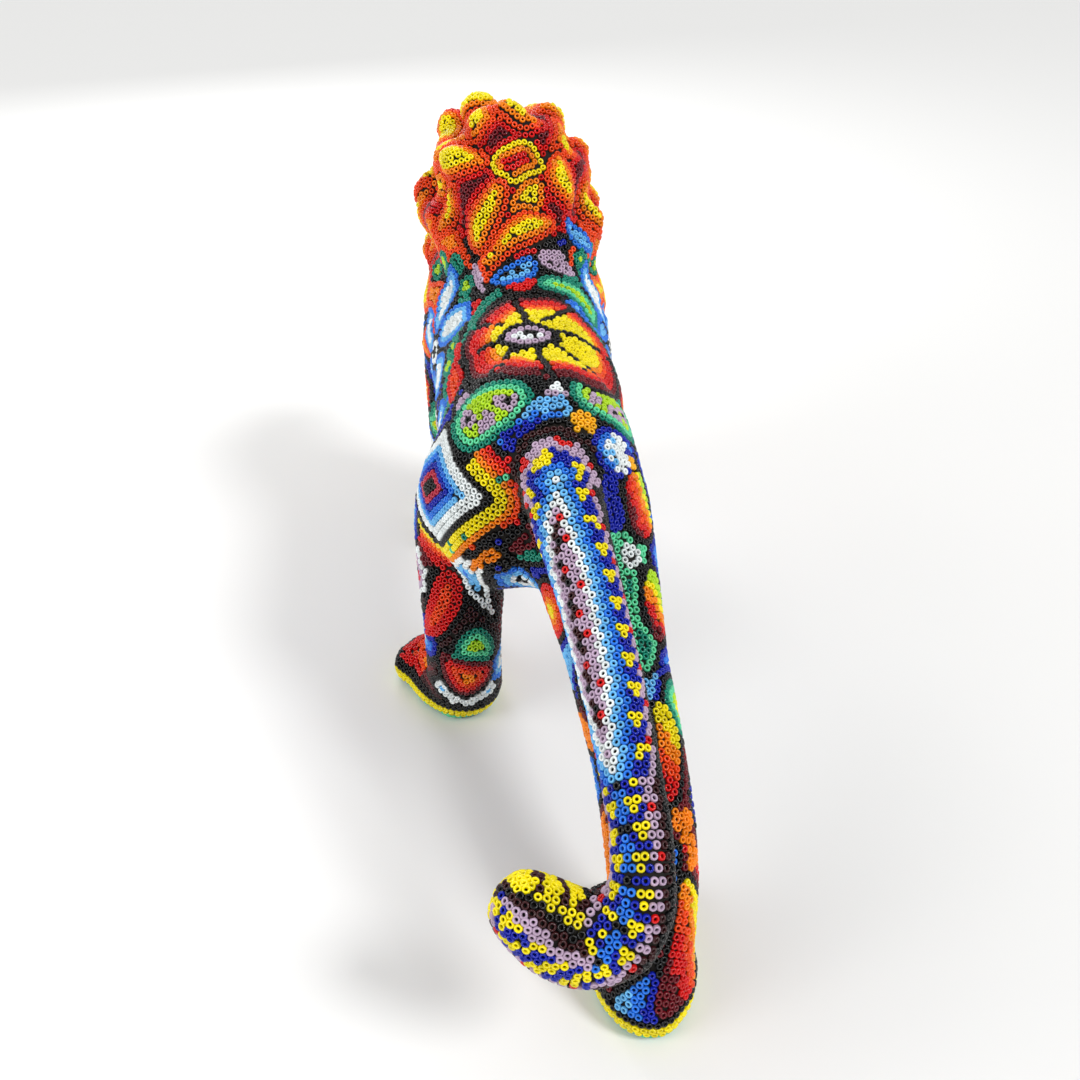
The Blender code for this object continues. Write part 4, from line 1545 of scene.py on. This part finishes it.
def glass(colour, shade):
    """Opaque glossy bead glass in one shade of one colour."""
    name = "glass_%s_%d" % (colour, shade)
    if name in bpy.data.materials:
        return bpy.data.materials[name]
    made, shader = new_material(name)
    shader.inputs["Base Color"].default_value = linear(COLOURS[colour], SHADES[shade])
    shader.inputs["Roughness"].default_value = 0.14 + 0.03 * shade
    shader.inputs["IOR"].default_value = 1.45
    rough_up(made, GLASS_RIPPLE)
    return made


def wax():
    made, shader = new_material("beeswax")
    shader.inputs["Base Color"].default_value = (0.008, 0.006, 0.004, 1)
    shader.inputs["Roughness"].default_value = 0.6
    shader.inputs["Specular IOR Level"].default_value = 0.2
    rough_up(made, WAX_LUMPS)
    return made


def wood(name, pale, dark, scale):
    """Carved wood: long grain with darker lines, and a rougher feel in the lines."""
    made, shader = new_material(name)
    nodes = made.node_tree.nodes
    links = made.node_tree.links
    place = nodes.new("ShaderNodeTexCoord")
    stretch = nodes.new("ShaderNodeMapping")
    stretch.inputs["Scale"].default_value = (scale, scale * 0.12, scale)
    grain = nodes.new("ShaderNodeTexNoise")
    grain.inputs["Scale"].default_value = 6
    grain.inputs["Detail"].default_value = 5
    blend = nodes.new("ShaderNodeValToRGB")
    blend.color_ramp.elements[0].color = (*dark, 1)
    blend.color_ramp.elements[1].color = (*pale, 1)
    links.new(place.outputs["Object"], stretch.inputs["Vector"])
    links.new(stretch.outputs["Vector"], grain.inputs["Vector"])
    links.new(grain.outputs["Fac"], blend.inputs["Fac"])
    links.new(blend.outputs["Color"], shader.inputs["Base Color"])
    feel = nodes.new("ShaderNodeMapRange")
    feel.inputs["To Min"].default_value = 0.85
    feel.inputs["To Max"].default_value = 0.55
    links.new(grain.outputs["Fac"], feel.inputs["Value"])
    links.new(feel.outputs["Result"], shader.inputs["Roughness"])
    rough_up(made, WOOD_PORES)
    return made


def finish_wood():
    carved = wood("carved_wood_grain", (0.50, 0.33, 0.18), (0.30, 0.18, 0.09), 60)
    turned = wood("dowel_wood_grain", (0.68, 0.50, 0.30), (0.50, 0.34, 0.18), 90)
    for name, node in frame["nodes"].items():
        if name.startswith(("core_", "dowel_")):
            node.data.materials.clear()
            node.data.materials.append(carved if name.startswith("core_") else turned)


# ---- Stage ----


def aimed(name, data, place, look):
    """Puts a lamp or a camera at a place, looking in a direction."""
    ob = placed(name, data)
    ob.location = place
    ob.rotation_mode = "QUATERNION"
    ob.rotation_quaternion = look.to_track_quat("-Z", "Y")
    return ob


def add_lamp(light, place):
    aimed(light.name, light, place, Vector(LAMP_AIM) - Vector(place))


def lay_floor():
    paint, shader = new_material("pale_floor")
    shader.inputs["Base Color"].default_value = (0.86, 0.86, 0.85, 1)
    shader.inputs["Roughness"].default_value = 0.8
    half = FLOOR_HALF
    corners = [(-half, -half, 0), (half, -half, 0), (half, half, 0), (-half, half, 0)]
    mesh = bpy.data.meshes.new("floor")
    mesh.from_pydata(corners, [], [(0, 1, 2, 3)])
    mesh.materials.append(paint)
    placed("floor", mesh)


def light_up():
    world = bpy.data.worlds.new("studio")
    world.use_nodes = True
    sky = world.node_tree.nodes["Background"]
    sky.inputs["Color"].default_value = (1, 1, 1, 1)
    sky.inputs["Strength"].default_value = WORLD_LIGHT
    bpy.context.scene.world = world
    place, spread, power = SUN
    light = bpy.data.lights.new("key", "SUN")
    light.angle = spread
    light.energy = power
    add_lamp(light, place)
    for name, place, size, power in LAMPS:
        light = bpy.data.lights.new(name, "AREA")
        light.shape = "RECTANGLE"
        light.size, light.size_y = size
        light.energy = power
        add_lamp(light, place)


def set_camera(skin):
    lens = bpy.data.cameras.new("camera")
    lens.lens = CAMERA_LENS
    lens.sensor_width = CAMERA_SENSOR
    level = cos(CAMERA_DIP)
    look = Vector((-sin(CAMERA_TURN) * level, -cos(CAMERA_TURN) * level, -sin(CAMERA_DIP)))
    place = skin.to_frame(np.array(CAMERA_PLACE))
    bpy.context.scene.camera = aimed("camera", lens, place, look)


# ---- All of it ----


def whole_ground(points):
    return np.full(len(points), FAR)


def dress():
    """Lays every motif, then makes the beads and their bed."""
    skin = Skin()
    tail = Tail()
    first = [
        Motif("paw_rims", paw_rims, ("black", "yellow", "yellow", "mint", "teal")),
        Motif("tail", lambda points: tail_depth(skin, tail), None),
    ]
    motifs = first + rear_motifs() + hind_leg_motifs() + back_motifs() + flank_motifs() + face_motifs()
    motifs = motifs + mane_motifs() + front_motifs()
    grounds = [
        Motif("face", face_ground, WARM),
        Motif("mane", mane_ground, ("red", "maroon", "maroon", "brown")),
    ]
    for motif in motifs + grounds:
        motif.lay(skin)
    raise_motifs(skin, motifs)
    fillers = filler_motifs(skin, motifs + grounds)
    rest = fillers + [Motif("ground", whole_ground, ("black",), paint=ground_colour)]
    for motif in rest:
        motif.lay(skin)
    motifs = motifs + grounds + rest
    number = [motif.name for motif in motifs].index("tail")
    t, around_tail, _ = tail.locate(skin.points)
    motifs[number].flat = np.stack((t, around_tail / PITCH), axis=1)
    beads = Beads()
    tree = skin.tree()
    tail_rings(skin, tail, tree, motifs[number].depth, beads, number)
    bead_rows(skin, motifs, beads)
    thin_out(skin, beads)
    fill_gaps(skin, motifs, beads)
    settle(skin, tree, beads)
    bead_pieces(skin, motifs, beads)
    wax_beds(skin)
    return skin


figure_skin = dress()
finish_wood()
bpy.context.scene.view_settings.view_transform = "Standard"
lay_floor()
light_up()
set_camera(figure_skin)
